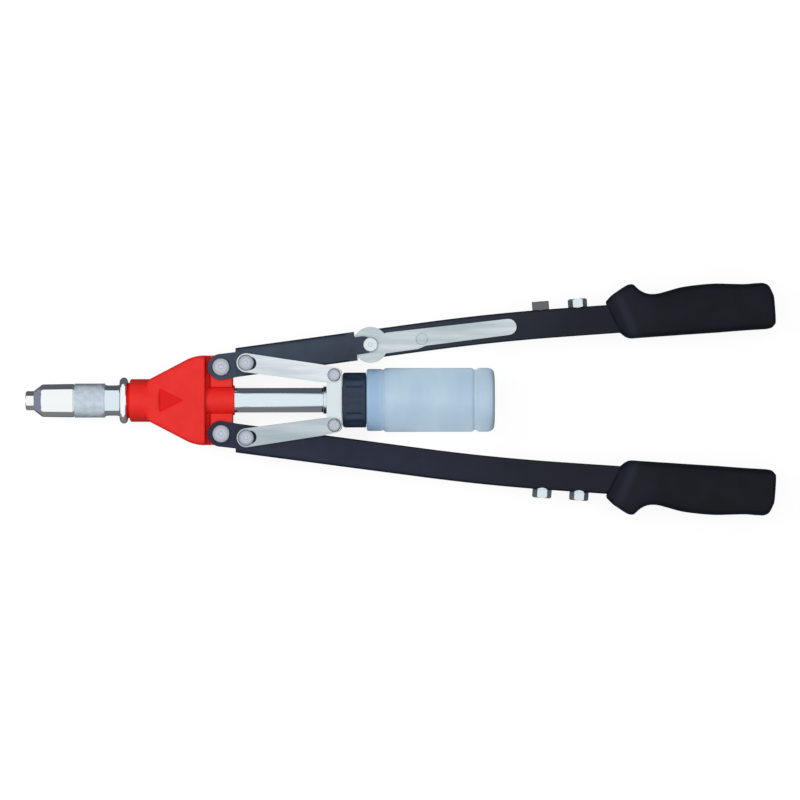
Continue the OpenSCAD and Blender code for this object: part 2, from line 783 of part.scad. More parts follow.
module plate_rivet() {
    seat = plate_in + plate_t;
    h = 1.7;
    crown = 1.4;
    side = 0.4;
    edge = 0.5;
    color("silver") translate([rivet_at.x, rivet_at.y, 0]) rotate_extrude() polygon([
        [0, -seat - h], [rivet_head_r - crown, -seat - h], [rivet_head_r - side, -seat - h + edge],
        [rivet_head_r, -seat], [rivet_r, -seat], [rivet_r, seat], [rivet_head_r, seat],
        [rivet_head_r - side, seat + h - edge], [rivet_head_r - crown, seat + h], [0, seat + h]]);
}

// Jaw case and what it holds, each drawn from the case's front face
module in_case() {
    translate([case_x, 0, 0]) children();
}
module jaw_case() {
    cone_end = case_lip + (case_bore_r - case_mouth_r) / tan(cone_angle);
    color("dimgray") in_case() turned([[case_mouth_r, 0], [tube_r - 1.5, 0], [tube_r, 2],
        [tube_r, case_len], [case_bore_r, case_len], [case_bore_r, cone_end],
        [case_mouth_r, case_lip]]);
}
module jaw(turn) {
    skin = jaw_skin / cos(cone_angle);
    back = jaw_front + jaw_len;
    color("slategray") in_case() rotate([0, 90, 0]) rotate(turn - jaw_sector / 2)
        rotate_extrude(angle = jaw_sector) polygon([
            [grip_r + jaw_flare, jaw_front], [cone_r(jaw_front) - skin, jaw_front],
            [cone_r(back) - skin, back], [jaw_back_r, back],
            [jaw_throat_r, back - jaw_back_r + jaw_throat_r],
            [grip_r, back - jaw_back_r + jaw_throat_r], [grip_r, jaw_front + jaw_mouth]]);
}
module jaw_1() {
    jaw(0);
}
module jaw_2() {
    jaw(120);
}
module jaw_3() {
    jaw(240);
}
module jaw_pusher() {
    tip = jaw_front + jaw_len - jaw_back_r + pusher_nose + pusher_back;
    color("goldenrod") in_case() turned([[pusher_bore, tip], [pusher_nose, tip],
        [pusher_cone_r, tip + pusher_cone_r - pusher_nose],
        [flange_r, flange_front], [flange_r, flange_back],
        [stem_r, flange_back], [stem_r, stem_end], [pusher_bore, stem_end]]);
}
// The spring is one wire swept along a helix
module jaw_spring() {
    sides = 8;
    steps = 20;
    gap = 0.1;
    start = flange_back + wire_r + gap;
    travel = spring_seat - 2 * wire_r - 2 * gap - flange_back;
    coil = spring_r - wire_r;
    rings = spring_turns * steps;
    points = [for (i = [0:rings]) for (k = [0:sides - 1]) let (turn = 360 * i / steps,
        spoke = 360 * k / sides, r = coil + wire_r * cos(spoke))
        [start + travel * i / rings + wire_r * sin(spoke), r * cos(turn), r * sin(turn)]];
    walls = [for (i = [0:rings - 1]) for (k = [0:sides - 1]) let (next = (k + 1) % sides,
        a = i * sides + k, b = i * sides + next, c = a + sides, d = b + sides)
        each [[a, c, b], [b, c, d]]];
    ends = [[for (k = [0:sides - 1]) k], [for (k = [sides - 1:-1:0]) rings * sides + k]];
    color("lightsteelblue") in_case() polyhedron(points, concat(walls, ends));
}

module pull_tube() {
    front = case_x + case_len - case_thread;
    color("whitesmoke") turned([[spring_pocket_r, front], [case_bore_r - seat_gap, front],
        [case_bore_r - seat_gap, case_x + case_len], [tube_r, case_x + case_len],
        [tube_r, tube_end_x], [passage_r, tube_end_x], [passage_r, case_x + spring_seat],
        [spring_pocket_r, case_x + spring_seat]]);
}
module tube_collar() {
    edge = 0.4;
    front = yoke_front_x - tube_ring_w;
    color("silver") turned([[tube_r + seat_gap, front], [tube_ring_r - edge, front],
        [tube_ring_r, front + edge], [tube_ring_r, yoke_front_x], [tube_r + seat_gap, yoke_front_x]]);
}
module yoke_plan() {
    half = yoke_t / 2;
    polygon(concat(arc([yoke_x, yoke_pin_y], half, 0, 180, 10),
        arc([yoke_x, -yoke_pin_y], half, 180, 360, 10)));
}
module yoke() {
    color("gainsboro") difference() {
        slab(-wall_out, wall_out) yoke_plan();
        rod(yoke_front_x - over, yoke_back_x + over, tube_r + seat_gap);
        both_sides() post([yoke_x, yoke_pin_y], -wall_out - over, wall_out + over,
            link_pin_r + seat_gap);
    }
}

module collector_cap() {
    edge = 1.4;
    rim = 0.8;
    hub_r = tube_r + 0.5;
    cavity_r = bottle_neck_r + plate_gap;
    flute_out = 0.62;
    flute_at = cap_r + flute_r * flute_out;
    flute_end = 1.5;
    color("darkslategray") difference() {
        turned([[tube_r + seat_gap, yoke_back_x], [hub_r, yoke_back_x],
            [hub_r, cap_x], [cap_r - edge, cap_x], [cap_r, cap_x + edge],
            [cap_r, cap_end_x - rim], [cap_r - rim, cap_end_x], [cavity_r, cap_end_x],
            [cavity_r, cap_cavity_x], [tube_r + seat_gap, cap_cavity_x]]);
        for (i = [0:flutes - 1]) rotate([360 * (i + 0.5) / flutes, 0, 0])
            translate([0, 0, flute_at])
                rod(cap_x + flute_end, cap_end_x - flute_end, flute_r);
    }
}
// Bottle profile, outside then inside, as one turned wall open at the neck
band_step = 0.7;
band_round = 1.6;
groove_depth = 0.9;
groove_ease = 1.2;
base_round = 4.3;
neck_play = 0.6;
dent_share = 0.45;
dent_rim = 0.2;
function bottle_skin(inset) = let (r = bottle_r - inset, band_r = r - band_step,
    neck = bottle_neck_r - inset, front = bottle_x + inset, back = bottle_end_x - inset,
    band_x = bottle_x + band_len, base_x = bottle_end_x - base_len, round_r = base_round - inset)
    concat([[neck, cap_cavity_x + neck_play], [neck, front]],
        arc([band_r - band_round, front + band_round], band_round, -90, 0, 5),
        [[band_r, band_x - groove_ease], [band_r - neck_play, band_x], [r, band_x + groove_ease],
            [r, base_x - 2.5 * groove_ease], [r - groove_depth, base_x - 1.5 * groove_ease],
            [r - groove_depth, base_x], [r, base_x + groove_ease]],
        arc([r - round_r, back - round_r], round_r, 0, 90, 6),
        [[r * dent_share, back + dent_rim], [0, back - groove_depth]]);
module mandrel_bottle() {
    color("lightsteelblue", 0.85) turned(concat(bottle_skin(0), reverse(bottle_skin(bottle_wall))));
}

// Grip stations: share of the length from the front, shares of the rubber's thickness
// on the outer and inner edges of the arm, and share of half the thickness
grip_shape = [[0, 0.3, 0.05, 0.6], [0.035, 0.68, 0.57, 0.7], [0.07, 0.94, 0.88, 0.82],
    [0.105, 1.18, 0.98, 0.9], [0.14, 1.4, 0.98, 0.95], [0.17, 1.3, 0.97, 0.95],
    [0.2, 0.95, 0.97, 0.93], [0.24, 0.66, 0.97, 0.92], [0.3, 0.56, 0.97, 0.92],
    [0.36, 0.68, 0.98, 0.94], [0.44, 0.88, 0.98, 0.97], [0.55, 0.99, 0.99, 1],
    [0.66, 1, 1, 1], [0.76, 0.88, 0.98, 1], [0.84, 0.81, 0.98, 1], [0.91, 0.82, 0.99, 0.99],
    [0.95, 0.77, 0.98, 0.96], [0.98, 0.49, 0.8, 0.85], [1, -0.1, 0.3, 0.6]];
// The front edge slants, and the slant fades over this share of the length
grip_lean_share = 0.2;
function grip_lean_at(share) = grip_lean * max(0, 1 - share / grip_lean_share);
// A point between four stations, on a smooth curve through the middle two
function blend(a, b, c, d, t) = 0.5 * (2 * b + (c - a) * t + (2 * a - 5 * b + 4 * c - d) * t ^ 2
    + (3 * b - a - 3 * c + d) * t ^ 3);
function station(i) = grip_shape[min(max(i, 0), len(grip_shape) - 1)];
grip_rings = [for (i = [0:len(grip_shape) - 2]) for (t = [0, 0.5])
    blend(station(i - 1), station(i), station(i + 1), station(i + 2), t)];
function squircle(a, n) = let (c = cos(a), s = sin(a))
    [sign(c) * abs(c) ^ (2 / n), sign(s) * abs(s) ^ (2 / n)];
module grip_form() {
    sides = 24;
    rings = concat(grip_rings, [station(len(grip_shape) - 1)]);
    points = [for (ring = rings) let (x = grip_x + ring[0] * grip_len,
        high = arm_half + ring[1] * grip_outer_t, low = -arm_half - ring[2] * grip_inner_t,
        mid = (high + low) / 2, half = (high - low) / 2, t = ring[3] * grip_half_t)
        for (k = [0:sides - 1]) let (p = squircle(360 * k / sides, 2.7),
            at = arm_at(x + grip_lean_at(ring[0]) * (1 - p.x) / 2, mid + half * p.x))
            [at.x, at.y, t * p.y]];
    walls = [for (i = [0:len(rings) - 2]) for (k = [0:sides - 1]) let (next = (k + 1) % sides,
        a = i * sides + k, b = i * sides + next, c = a + sides, d = b + sides)
        each [[a, c, b], [b, c, d]]];
    ends = [[for (k = [0:sides - 1]) k], [for (k = [sides - 1:-1:0]) (len(rings) - 1) * sides + k]];
    polyhedron(points, concat(walls, ends));
}
module grip_upper() {
    color("dimgray") difference() {
        grip_form();
        slab(-rear_half_t - seat_gap, rear_half_t + seat_gap)
            arm_strip(grip_x - over, arm_end_x + seat_gap, -arm_half - seat_gap,
                arm_half + seat_gap);
    }
}
module grip_lower() {
    mirror([0, 1, 0]) grip_upper();
}

// Stored nosepieces; the first one on the upper arm is turned by a twelfth of a turn
module spare_nosepiece_1() {
    color("silver") on_arm(store_x_upper) nosepiece_form(store_bores[0], 0);
}
module spare_nosepiece_2() {
    color("silver") on_arm(store_x_upper + store_pitch) nosepiece_form(store_bores[1]);
}
module spare_nosepiece_3() {
    color("silver") mirror([0, 1, 0]) on_arm(store_x_lower) nosepiece_form(store_bores[2]);
}
module spare_nosepiece_4() {
    color("silver") mirror([0, 1, 0]) on_arm(store_x_lower + store_pitch)
        nosepiece_form(store_bores[3]);
}

nosepiece();
nose_housing();
housing_nipple();
lock_ring();
body_casting();
pivot_pin_upper();
pivot_pin_lower();
pivot_clips();
jaw_case();
jaw_1();
jaw_2();
jaw_3();
jaw_pusher();
jaw_spring();
pull_tube();
tube_collar();
yoke();
yoke_pins();
yoke_clips();
link_upper_top();
link_upper_bottom();
link_lower_top();
link_lower_bottom();
lever_upper_front();
link_pin_upper();
link_clip_upper();
knuckle_pin();
knuckle_clip();
lever_upper_rear();
hinge_plate_top();
hinge_plate_bottom();
plate_rivet();
grip_upper();
spare_nosepiece_1();
spare_nosepiece_2();
lever_lower();
link_pin_lower();
link_clip_lower();
grip_lower();
spare_nosepiece_3();
spare_nosepiece_4();
collector_cap();
mandrel_bottle();
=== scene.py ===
"""Dresses the long-arm hand riveter: finishes for its metal, paint, rubber and plastic, and the
shapes that the plain solids lack: the knurl, the cast body, the pressed arms, the moulded grips,
the turned pins, the cap, the blown bottle and the coil of the jaw spring. Sizes are in
millimetres until a mesh, a node or a lamp takes them in metres."""
import math

import bmesh
import bpy
import numpy as np
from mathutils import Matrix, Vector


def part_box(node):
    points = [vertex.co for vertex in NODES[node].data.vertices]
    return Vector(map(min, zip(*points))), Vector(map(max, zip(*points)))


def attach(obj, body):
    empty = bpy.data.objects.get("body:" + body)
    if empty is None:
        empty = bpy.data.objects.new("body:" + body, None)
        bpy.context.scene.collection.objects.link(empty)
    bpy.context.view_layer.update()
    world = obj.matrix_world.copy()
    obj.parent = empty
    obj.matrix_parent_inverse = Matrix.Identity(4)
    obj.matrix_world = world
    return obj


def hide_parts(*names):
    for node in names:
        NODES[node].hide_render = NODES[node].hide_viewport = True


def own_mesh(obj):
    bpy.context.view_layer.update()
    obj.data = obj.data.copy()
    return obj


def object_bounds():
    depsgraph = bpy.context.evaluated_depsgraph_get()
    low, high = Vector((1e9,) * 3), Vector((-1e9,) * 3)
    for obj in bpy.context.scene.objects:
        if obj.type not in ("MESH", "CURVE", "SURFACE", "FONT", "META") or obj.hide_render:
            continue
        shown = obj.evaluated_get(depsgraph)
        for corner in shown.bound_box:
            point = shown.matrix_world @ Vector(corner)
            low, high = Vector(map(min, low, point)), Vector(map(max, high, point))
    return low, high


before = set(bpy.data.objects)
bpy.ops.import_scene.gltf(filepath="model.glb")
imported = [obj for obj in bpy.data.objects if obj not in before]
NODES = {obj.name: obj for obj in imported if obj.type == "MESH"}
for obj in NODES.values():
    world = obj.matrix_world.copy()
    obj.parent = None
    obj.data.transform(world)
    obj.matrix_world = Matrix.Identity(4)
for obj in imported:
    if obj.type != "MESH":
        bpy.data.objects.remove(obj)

MM = 0.001
WHITE = (1, 1, 1, 1)
# A noise texture stays mostly between these two values
NOISE_LOW, NOISE_HIGH, NOISE_DETAIL = 0.3, 0.7, 3.0
# Numbers of a Mix node's colour sockets, whose names its sockets for plain numbers also have
MIX_FIRST, MIX_SECOND, MIX_RESULT = 6, 7, 2
CAD_BOX = [list(corner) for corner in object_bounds()]


def reach(node):
    """Lowest and highest corner of a node in millimetres."""
    low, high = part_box(node)
    return np.array(low) / MM, np.array(high) / MM


def middle(node):
    """Centre of a node's box in millimetres."""
    low, high = reach(node)
    return (low + high) / 2


# Colour and node helpers

def linear(code):
    """A colour written as sRGB hex, turned to linear light, with alpha 1."""
    share = np.array([int(code[i:i + 2], 16) for i in (1, 3, 5)]) / 255
    low = share / 12.92
    high = ((share + 0.055) / 1.055) ** 2.4
    return (*np.where(share <= 0.04045, low, high), 1.0)


def add(tree, kind, settings=None, feeds=None):
    """Adds one node, sets its options, and feeds each named or numbered input a value or a socket."""
    node = tree.nodes.new("ShaderNode" + kind)
    for name, value in (settings or {}).items():
        setattr(node, name, value)
    for name, value in (feeds or {}).items():
        if isinstance(value, bpy.types.NodeSocket):
            tree.links.new(value, node.inputs[name])
        else:
            node.inputs[name].default_value = value
    return node


def in_scene(name, data):
    """A new object with the given mesh, lamp or camera, linked into the scene."""
    thing = bpy.data.objects.new(name, data)
    bpy.context.scene.collection.objects.link(thing)
    return thing


def finish_named(name, colour, **sockets):
    """A new material with one Principled shader; sockets gives plain values for its inputs."""
    material = bpy.data.materials.new(name)
    material.use_nodes = True
    tree = material.node_tree
    shader = tree.nodes["Principled BSDF"]
    shader.inputs["Base Color"].default_value = linear(colour)
    for socket, value in sockets.items():
        shader.inputs[socket.replace("_", " ")].default_value = value
    return material, tree, shader


def patches(tree, size_mm, stretch=(1, 1, 1)):
    """Noise in soft patches of about size_mm that stays with the piece; returns its value."""
    place = add(tree, "TexCoord")
    turn = add(tree, "Mapping", {}, {"Vector": place.outputs["Object"], "Scale": stretch})
    noise = add(tree, "TexNoise", {}, {"Vector": turn.outputs[0], "Scale": 1 / (size_mm * MM),
                                       "Detail": NOISE_DETAIL})
    return noise.outputs["Fac"]


def mottle(tree, shader, first, second, size_mm, stretch=(1, 1, 1)):
    """Lets the colour drift between two tones in soft patches of about size_mm; returns the colour."""
    ramp_start, ramp_end = 0.35, 0.65
    ramp = add(tree, "ValToRGB", {}, {"Fac": patches(tree, size_mm, stretch)})
    ramp.color_ramp.elements[0].position = ramp_start
    ramp.color_ramp.elements[1].position = ramp_end
    ramp.color_ramp.elements[0].color = linear(first)
    ramp.color_ramp.elements[1].color = linear(second)
    tree.links.new(ramp.outputs["Color"], shader.inputs["Base Color"])
    return ramp.outputs["Color"]


def skin(tree, shader, size_mm, depth_mm, rough, stretch=(1, 1, 1), edge_mm=0.3):
    """Gives the surface a fine relief of size_mm by depth_mm, lets the roughness vary with it
    between the two values of rough, and softens every sharp edge to a radius of edge_mm."""
    noise = patches(tree, size_mm, stretch)
    spread = add(tree, "MapRange", {}, {"Value": noise, "From Min": NOISE_LOW, "From Max": NOISE_HIGH,
                                        "To Min": rough[0], "To Max": rough[1]})
    tree.links.new(spread.outputs["Result"], shader.inputs["Roughness"])
    soft = add(tree, "Bevel", {"samples": 4}, {"Radius": edge_mm * MM})
    relief = add(tree, "Bump", {}, {"Height": noise, "Distance": depth_mm * MM,
                                    "Normal": soft.outputs["Normal"]})
    tree.links.new(relief.outputs["Normal"], shader.inputs["Normal"])


def along_tool(tree, near, far, start_mm, end_mm):
    """A colour that shifts from near to far between two distances from the nose."""
    place = add(tree, "TexCoord")
    parts = add(tree, "SeparateXYZ", {}, {0: place.outputs["Object"]})
    share = add(tree, "MapRange", {}, {"Value": parts.outputs["X"], "From Min": start_mm * MM,
                                       "From Max": end_mm * MM})
    mix = add(tree, "Mix", {"data_type": "RGBA"},
              {"Factor": share.outputs["Result"], MIX_FIRST: linear(near), MIX_SECOND: linear(far)})
    return mix.outputs[MIX_RESULT]


def toned_by_mark(tree, shader, mark, plain, tone):
    """Lets the plain colour turn into tone as the piece's own attribute called mark grows from 0
    to 1; returns the colour."""
    share = add(tree, "Attribute", {"attribute_name": mark})
    mix = add(tree, "Mix", {"data_type": "RGBA"},
              {"Factor": share.outputs["Fac"], MIX_FIRST: plain, MIX_SECOND: linear(tone)})
    tree.links.new(mix.outputs[MIX_RESULT], shader.inputs["Base Color"])
    return mix.outputs[MIX_RESULT]


# Finishes

def plain_metal(name, colour, size_mm, depth_mm, rough, edge_mm, stretch=(1, 1, 1)):
    """A metal of one colour, whose fine relief and roughness come from the way it was made."""
    material, tree, shader = finish_named(name, colour, Metallic=1.0)
    skin(tree, shader, size_mm, depth_mm, rough, stretch, edge_mm)
    return material


def gloss_red_enamel():
    """Die-cast aluminium with baked red enamel: saturated, glossy, with a faint orange peel. In the
    hollows of the casting the red is painted deeper, as painted shade."""
    material, tree, shader = finish_named("gloss_red_enamel", "#E42822", Specular_IOR_Level=0.12,
                                          Coat_Weight=0.08, Coat_Roughness=0.15)
    plain = mottle(tree, shader, "#E22520", "#E92A24", 9)
    # painted shade: where the attribute hollow is 1 the red turns deeper
    toned_by_mark(tree, shader, "hollow", plain, "#D90402")
    skin(tree, shader, 1.4, 0.03, (0.34, 0.44), edge_mm=0.5)
    return material


def brushed_plate(name, dark, light):
    """Rolled steel plate, brushed along its length and zinc plated: pale with fine streaks."""
    material, tree, shader = finish_named(name, dark, Metallic=1.0)
    mottle(tree, shader, dark, light, 8, stretch=(0.12, 1, 1))
    skin(tree, shader, 0.45, 0.004, (0.28, 0.42), stretch=(0.04, 1, 1), edge_mm=0.35)
    return material


def turned_pin_steel():
    """Turned and plated steel of the pins: satin, with a faint lilac cast. A head's colour is painted
    darker from the dimple out to the rim, as painted shade."""
    pin_tone, painted_rim_shade = "#C6CCD8", "#969BA6"
    material, tree, shader = finish_named("turned_pin_steel", pin_tone, Metallic=1.0)
    # painted shade: the attribute rim darkens the head towards its edge
    toned_by_mark(tree, shader, "rim", linear(pin_tone), painted_rim_shade)
    skin(tree, shader, 0.5, 0.002, (0.22, 0.3), edge_mm=0.3)
    return material


def knurled_steel():
    """Satin plated steel, where the diamond knurl scatters the light: grey."""
    material, tree, shader = finish_named("knurled_steel", "#C2CDD5", Metallic=1.0)
    mottle(tree, shader, "#C0CDD8", "#D0DBE4", 4)
    skin(tree, shader, 0.5, 0.006, (0.5, 0.6), edge_mm=0.2)
    return material


def satin_black_paint(name, near, far):
    """Pressed steel with satin black paint, with a fine pebble from the spray. Its colour is painted
    blue-grey at the body and nearly black at the grips, a painted reflection, and blackest on the bends
    and lips, a painted shade."""
    near_end_mm, far_start_mm, patch_mm = 190, 400, 12
    darkest, lightest = 0.9, 1.1
    material, tree, shader = finish_named(name, near, Specular_IOR_Level=0.2)
    # painted reflection: the colour runs from blue-grey near the body to nearly black at the grips
    base = along_tool(tree, near, far, near_end_mm, far_start_mm)
    value = add(tree, "MapRange", {}, {"Value": patches(tree, patch_mm), "From Min": NOISE_LOW,
                                       "From Max": NOISE_HIGH, "To Min": darkest, "To Max": lightest})
    lift = add(tree, "HueSaturation", {}, {"Color": base, "Value": value.outputs["Result"]})
    # painted shade: the attribute edge turns the paint nearly black on the bends and lips
    toned_by_mark(tree, shader, "edge", lift.outputs["Color"], "#070910")
    skin(tree, shader, 0.8, 0.02, (0.36, 0.46), edge_mm=0.6)
    return material


def moulded_rubber():
    """Injection-moulded rubber of the grips: blue-black, matt, with a fine spark-eroded grain, and
    painted paler on the bevel at the front, a painted highlight."""
    material, tree, shader = finish_named("moulded_rubber", "#080A12", Specular_IOR_Level=0.16)
    plain = mottle(tree, shader, "#04070F", "#0A0E1B", 14)
    # painted highlight: the grip's own attribute turns the rubber paler behind the front bevel
    toned_by_mark(tree, shader, "painted_highlight", plain, "#1E222D")
    skin(tree, shader, 0.7, 0.05, (0.46, 0.58), edge_mm=0.4)
    return material


def moulded_nylon():
    """Glass-filled nylon of the cap: slate black with a low sheen."""
    material, tree, shader = finish_named("moulded_nylon", "#1D2B41", Specular_IOR_Level=0.4)
    mottle(tree, shader, "#1B293F", "#203047", 8)
    skin(tree, shader, 0.6, 0.02, (0.38, 0.5), edge_mm=0.3)
    return material


def milky_polythene():
    """Blow-moulded polythene of the bottle: pale blue, milky, letting a little light through. Its colour
    is painted a touch deeper next to the cap, a painted shade, and palest in the grooves, a painted
    highlight."""
    deeper_end_mm, plain_start_mm = 252, 262
    material, tree, shader = finish_named(
        "milky_polythene", "#C4E0F8", IOR=1.5, Transmission_Weight=0.15, Subsurface_Weight=0.4,
        Subsurface_Scale=5 * MM, Subsurface_Radius=(1, 1, 1), Specular_IOR_Level=0.4)
    body = mottle(tree, shader, "#C0DDF8", "#CAE6FE", 16, stretch=(1, 0.5, 0.5))
    # painted shade: a touch deeper towards the cap
    deeper = along_tool(tree, "#DCE8F6", "#FFFFFF", deeper_end_mm, plain_start_mm)
    # painted highlight: palest in the grooves
    pale = toned_by_mark(tree, shader, "groove_highlight", body, "#D6EBFF")
    tint = add(tree, "Mix", {"data_type": "RGBA", "blend_type": "MULTIPLY"},
               {"Factor": 1.0, MIX_FIRST: pale, MIX_SECOND: deeper})
    tree.links.new(tint.outputs[MIX_RESULT], shader.inputs["Base Color"])
    skin(tree, shader, 2.5, 0.03, (0.32, 0.42), edge_mm=0.4)
    return material


RED, RUBBER, NYLON, POLYTHENE = gloss_red_enamel(), moulded_rubber(), moulded_nylon(), milky_polythene()
PIN, KNURL = turned_pin_steel(), knurled_steel()
PLATE = brushed_plate("brushed_plate", "#B4C1C6", "#D5DEE1")
LINK = brushed_plate("brushed_link", "#CAD5DA", "#EAF1F4")
# The lower links' finish is a darker copy of the link finish: painted shade
SHADED_LINK = brushed_plate("brushed_link_lower", "#A8B6BD", "#C6D1D6")
PAINT = satin_black_paint("satin_black_paint", "#374353", "#0D1120")
# The lower arm's paint is a darker copy of the same black paint: painted shade
SHADED_PAINT = satin_black_paint("satin_black_paint_lower", "#22283D", "#0D1121")
# Chrome plate over turned steel: a clear mirror, a touch cold, with very faint turning lines
CHROME = plain_metal("mirror_chrome", "#F2F6F7", 0.5, 0.0012, (0.05, 0.1), 0.25, stretch=(4, 1, 1))
# Ground steel with hard chrome, as on a piston rod: pale blue-grey, not quite a mirror
ROD = plain_metal("hard_chrome", "#DBE8F0", 0.4, 0.0015, (0.07, 0.13), 0.25, stretch=(4, 1, 1))
# Nickel-plated steel, tumbled before plating: bright and blurred, slightly blue
NICKEL = plain_metal("satin_nickel", "#D9E4E8", 0.6, 0.0022, (0.24, 0.3), 0.35)
# Steel of one stored nosepiece, painted darker than the other three as painted shade: dark faces with
# bright corners
SHADED_NOSEPIECE = plain_metal("nosepiece_steel_in_shade", "#66676C", 0.5, 0.004, (0.16, 0.26), 0.3)
# Blued spring steel of the retaining rings: nearly black with a dull shine
BLUED = plain_metal("blued_spring_steel", "#33353C", 0.4, 0.003, (0.3, 0.42), 0.15)
# Hardened steel of the jaws and their pusher: dark grey from the heat treatment
HARD = plain_metal("hardened_steel", "#84878C", 0.4, 0.004, (0.3, 0.4), 0.15)

FINISH_OF_NODE = {
    RED: ["body_casting"],
    CHROME: ["nosepiece", "nose_housing", "lock_ring"],
    ROD: ["pull_tube", "housing_nipple"],
    NICKEL: ["tube_collar", "yoke", "spare_nosepiece_2", "spare_nosepiece_3", "spare_nosepiece_4"],
    SHADED_NOSEPIECE: ["spare_nosepiece_1"],
    LINK: ["link_upper_top", "link_upper_bottom"],
    SHADED_LINK: ["link_lower_top", "link_lower_bottom"],
    PLATE: ["hinge_plate_top", "hinge_plate_bottom", "plate_rivet"],
    PIN: ["pivot_pin_upper", "pivot_pin_lower", "link_pin_upper", "link_pin_lower", "yoke_pins",
          "knuckle_pin"],
    BLUED: ["pivot_clips", "link_clip_upper", "link_clip_lower", "yoke_clips", "knuckle_clip",
            "jaw_case"],
    PAINT: ["lever_upper_front", "lever_upper_rear"],
    SHADED_PAINT: ["lever_lower"],
    RUBBER: ["grip_upper", "grip_lower"],
    NYLON: ["collector_cap"],
    POLYTHENE: ["mandrel_bottle"],
    HARD: ["jaw_1", "jaw_2", "jaw_3", "jaw_pusher", "jaw_spring"],
}
for finish, names in FINISH_OF_NODE.items():
    for name in names:
        NODES[name].material_slots[0].material = finish


# Shape helpers. A grid holds points in millimetres, one row per station and one column per
# point around it, and closes on itself across its columns.

def closed_piece(name, grids, finish, body, node, sharp=40, shade=None, mark="hollow"):
    """One mesh from several grids: each cell becomes a face, rows that shrink to a point or a line
    are merged, every open end is filled, and the faces are turned outwards. An edge is sharp where
    its faces differ by more than sharp degrees. shade is an optional list of one value per point,
    kept as the attribute called mark."""
    weld = 0.002 * MM
    points, faces, start = [], [], 0
    for grid in grids:
        rows, columns = grid.shape[:2]
        index = np.arange(rows * columns).reshape(rows, columns) + start
        beside = np.roll(index, -1, axis=1)
        cells = np.stack([index[:-1], beside[:-1], beside[1:], index[1:]], axis=-1)
        faces.append(cells.reshape(-1, 4))
        points.append(grid.reshape(-1, 3))
        start += rows * columns
    mesh = bpy.data.meshes.new(name)
    mesh.from_pydata(np.concatenate(points) * MM, [], np.concatenate(faces))
    if shade is not None:
        values = np.concatenate([part.reshape(-1) for part in shade])
        mesh.attributes.new(mark, "FLOAT", "POINT").data.foreach_set("value", values)
    shape = bmesh.new()
    shape.from_mesh(mesh)
    bmesh.ops.remove_doubles(shape, verts=shape.verts, dist=weld)
    bmesh.ops.dissolve_degenerate(shape, edges=shape.edges, dist=weld)
    open_edges = [edge for edge in shape.edges if edge.is_boundary]
    if open_edges:
        bmesh.ops.holes_fill(shape, edges=open_edges, sides=0)
    bmesh.ops.recalc_face_normals(shape, faces=shape.faces)
    shape.to_mesh(mesh)
    shape.free()
    mesh.polygons.foreach_set("use_smooth", np.ones(len(mesh.polygons), dtype=bool))
    mesh.set_sharp_from_angle(angle=math.radians(sharp))
    mesh.materials.append(finish)
    piece = in_scene(name, mesh)
    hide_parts(node)
    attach(piece, body)
    return piece


def rounded(corners, cuts, steps=5, closed=True):
    """Outlines with every corner replaced by an arc: the parabola that leaves one side and meets
    the next at the distance cuts from the corner. corners has the shape (stations, corners, 2)."""
    shortest, largest_share = 1e-6, 0.49
    before = np.roll(corners, 1, axis=1) - corners
    after = np.roll(corners, -1, axis=1) - corners
    length_before = np.maximum(np.linalg.norm(before, axis=2, keepdims=True), shortest)
    length_after = np.maximum(np.linalg.norm(after, axis=2, keepdims=True), shortest)
    cuts = np.broadcast_to(np.asarray(cuts, dtype=float), corners.shape[:2])[..., None]
    leave = corners + before / length_before * np.minimum(cuts, largest_share * length_before)
    meet = corners + after / length_after * np.minimum(cuts, largest_share * length_after)
    if not closed:
        leave[:, [0, -1]] = corners[:, [0, -1]]
        meet[:, [0, -1]] = corners[:, [0, -1]]
    share = np.linspace(0, 1, steps)[None, None, :, None]
    arc = ((1 - share) ** 2 * leave[:, :, None] + 2 * share * (1 - share) * corners[:, :, None]
           + share ** 2 * meet[:, :, None])
    return arc.reshape(corners.shape[0], -1, 2)


def denser(outline, gap):
    """The same open outline with extra points, so that none lie further apart than gap."""
    lengths = np.hypot(*np.diff(outline, axis=0).T)
    counts = np.maximum(np.ceil(lengths / gap).astype(int), 1)
    path = np.concatenate([[0], np.cumsum(lengths)])
    side = np.repeat(np.arange(len(counts)), counts)
    within = np.arange(counts.sum()) - np.repeat(np.cumsum(counts) - counts, counts)
    places = np.append(path[side] + lengths[side] * within / counts[side], path[-1])
    return np.stack([np.interp(places, path, outline[:, k]) for k in (0, 1)], axis=-1)


def profile(*corners, gap=50.0):
    """An open outline in the plane of radius and axis, from corners of (radius, x, cut), where cut
    is how far from the corner its rounding starts. Points lie no further apart than gap."""
    same_point = 1e-4
    table = np.array(corners, dtype=float)
    outline = rounded(table[None, :, :2], table[:, 2], closed=False)[0]
    keep = np.concatenate([[True], np.hypot(*np.diff(outline, axis=0).T) > same_point])
    return denser(outline[keep], gap)


def eased(share):
    """A share from 0 to 1 that starts and ends gently: three of its square less two of its cube."""
    return share * share * (3 - 2 * share)


def spun(outline, count):
    """Turns an outline of (radius, x) round the axis."""
    angle = np.linspace(0, 2 * np.pi, count, endpoint=False)
    radius, place = outline[:, :1], outline[:, 1:]
    return np.stack([place + 0 * angle, radius * np.cos(angle), radius * np.sin(angle)], axis=-1)


# Nose housing with its diamond knurl

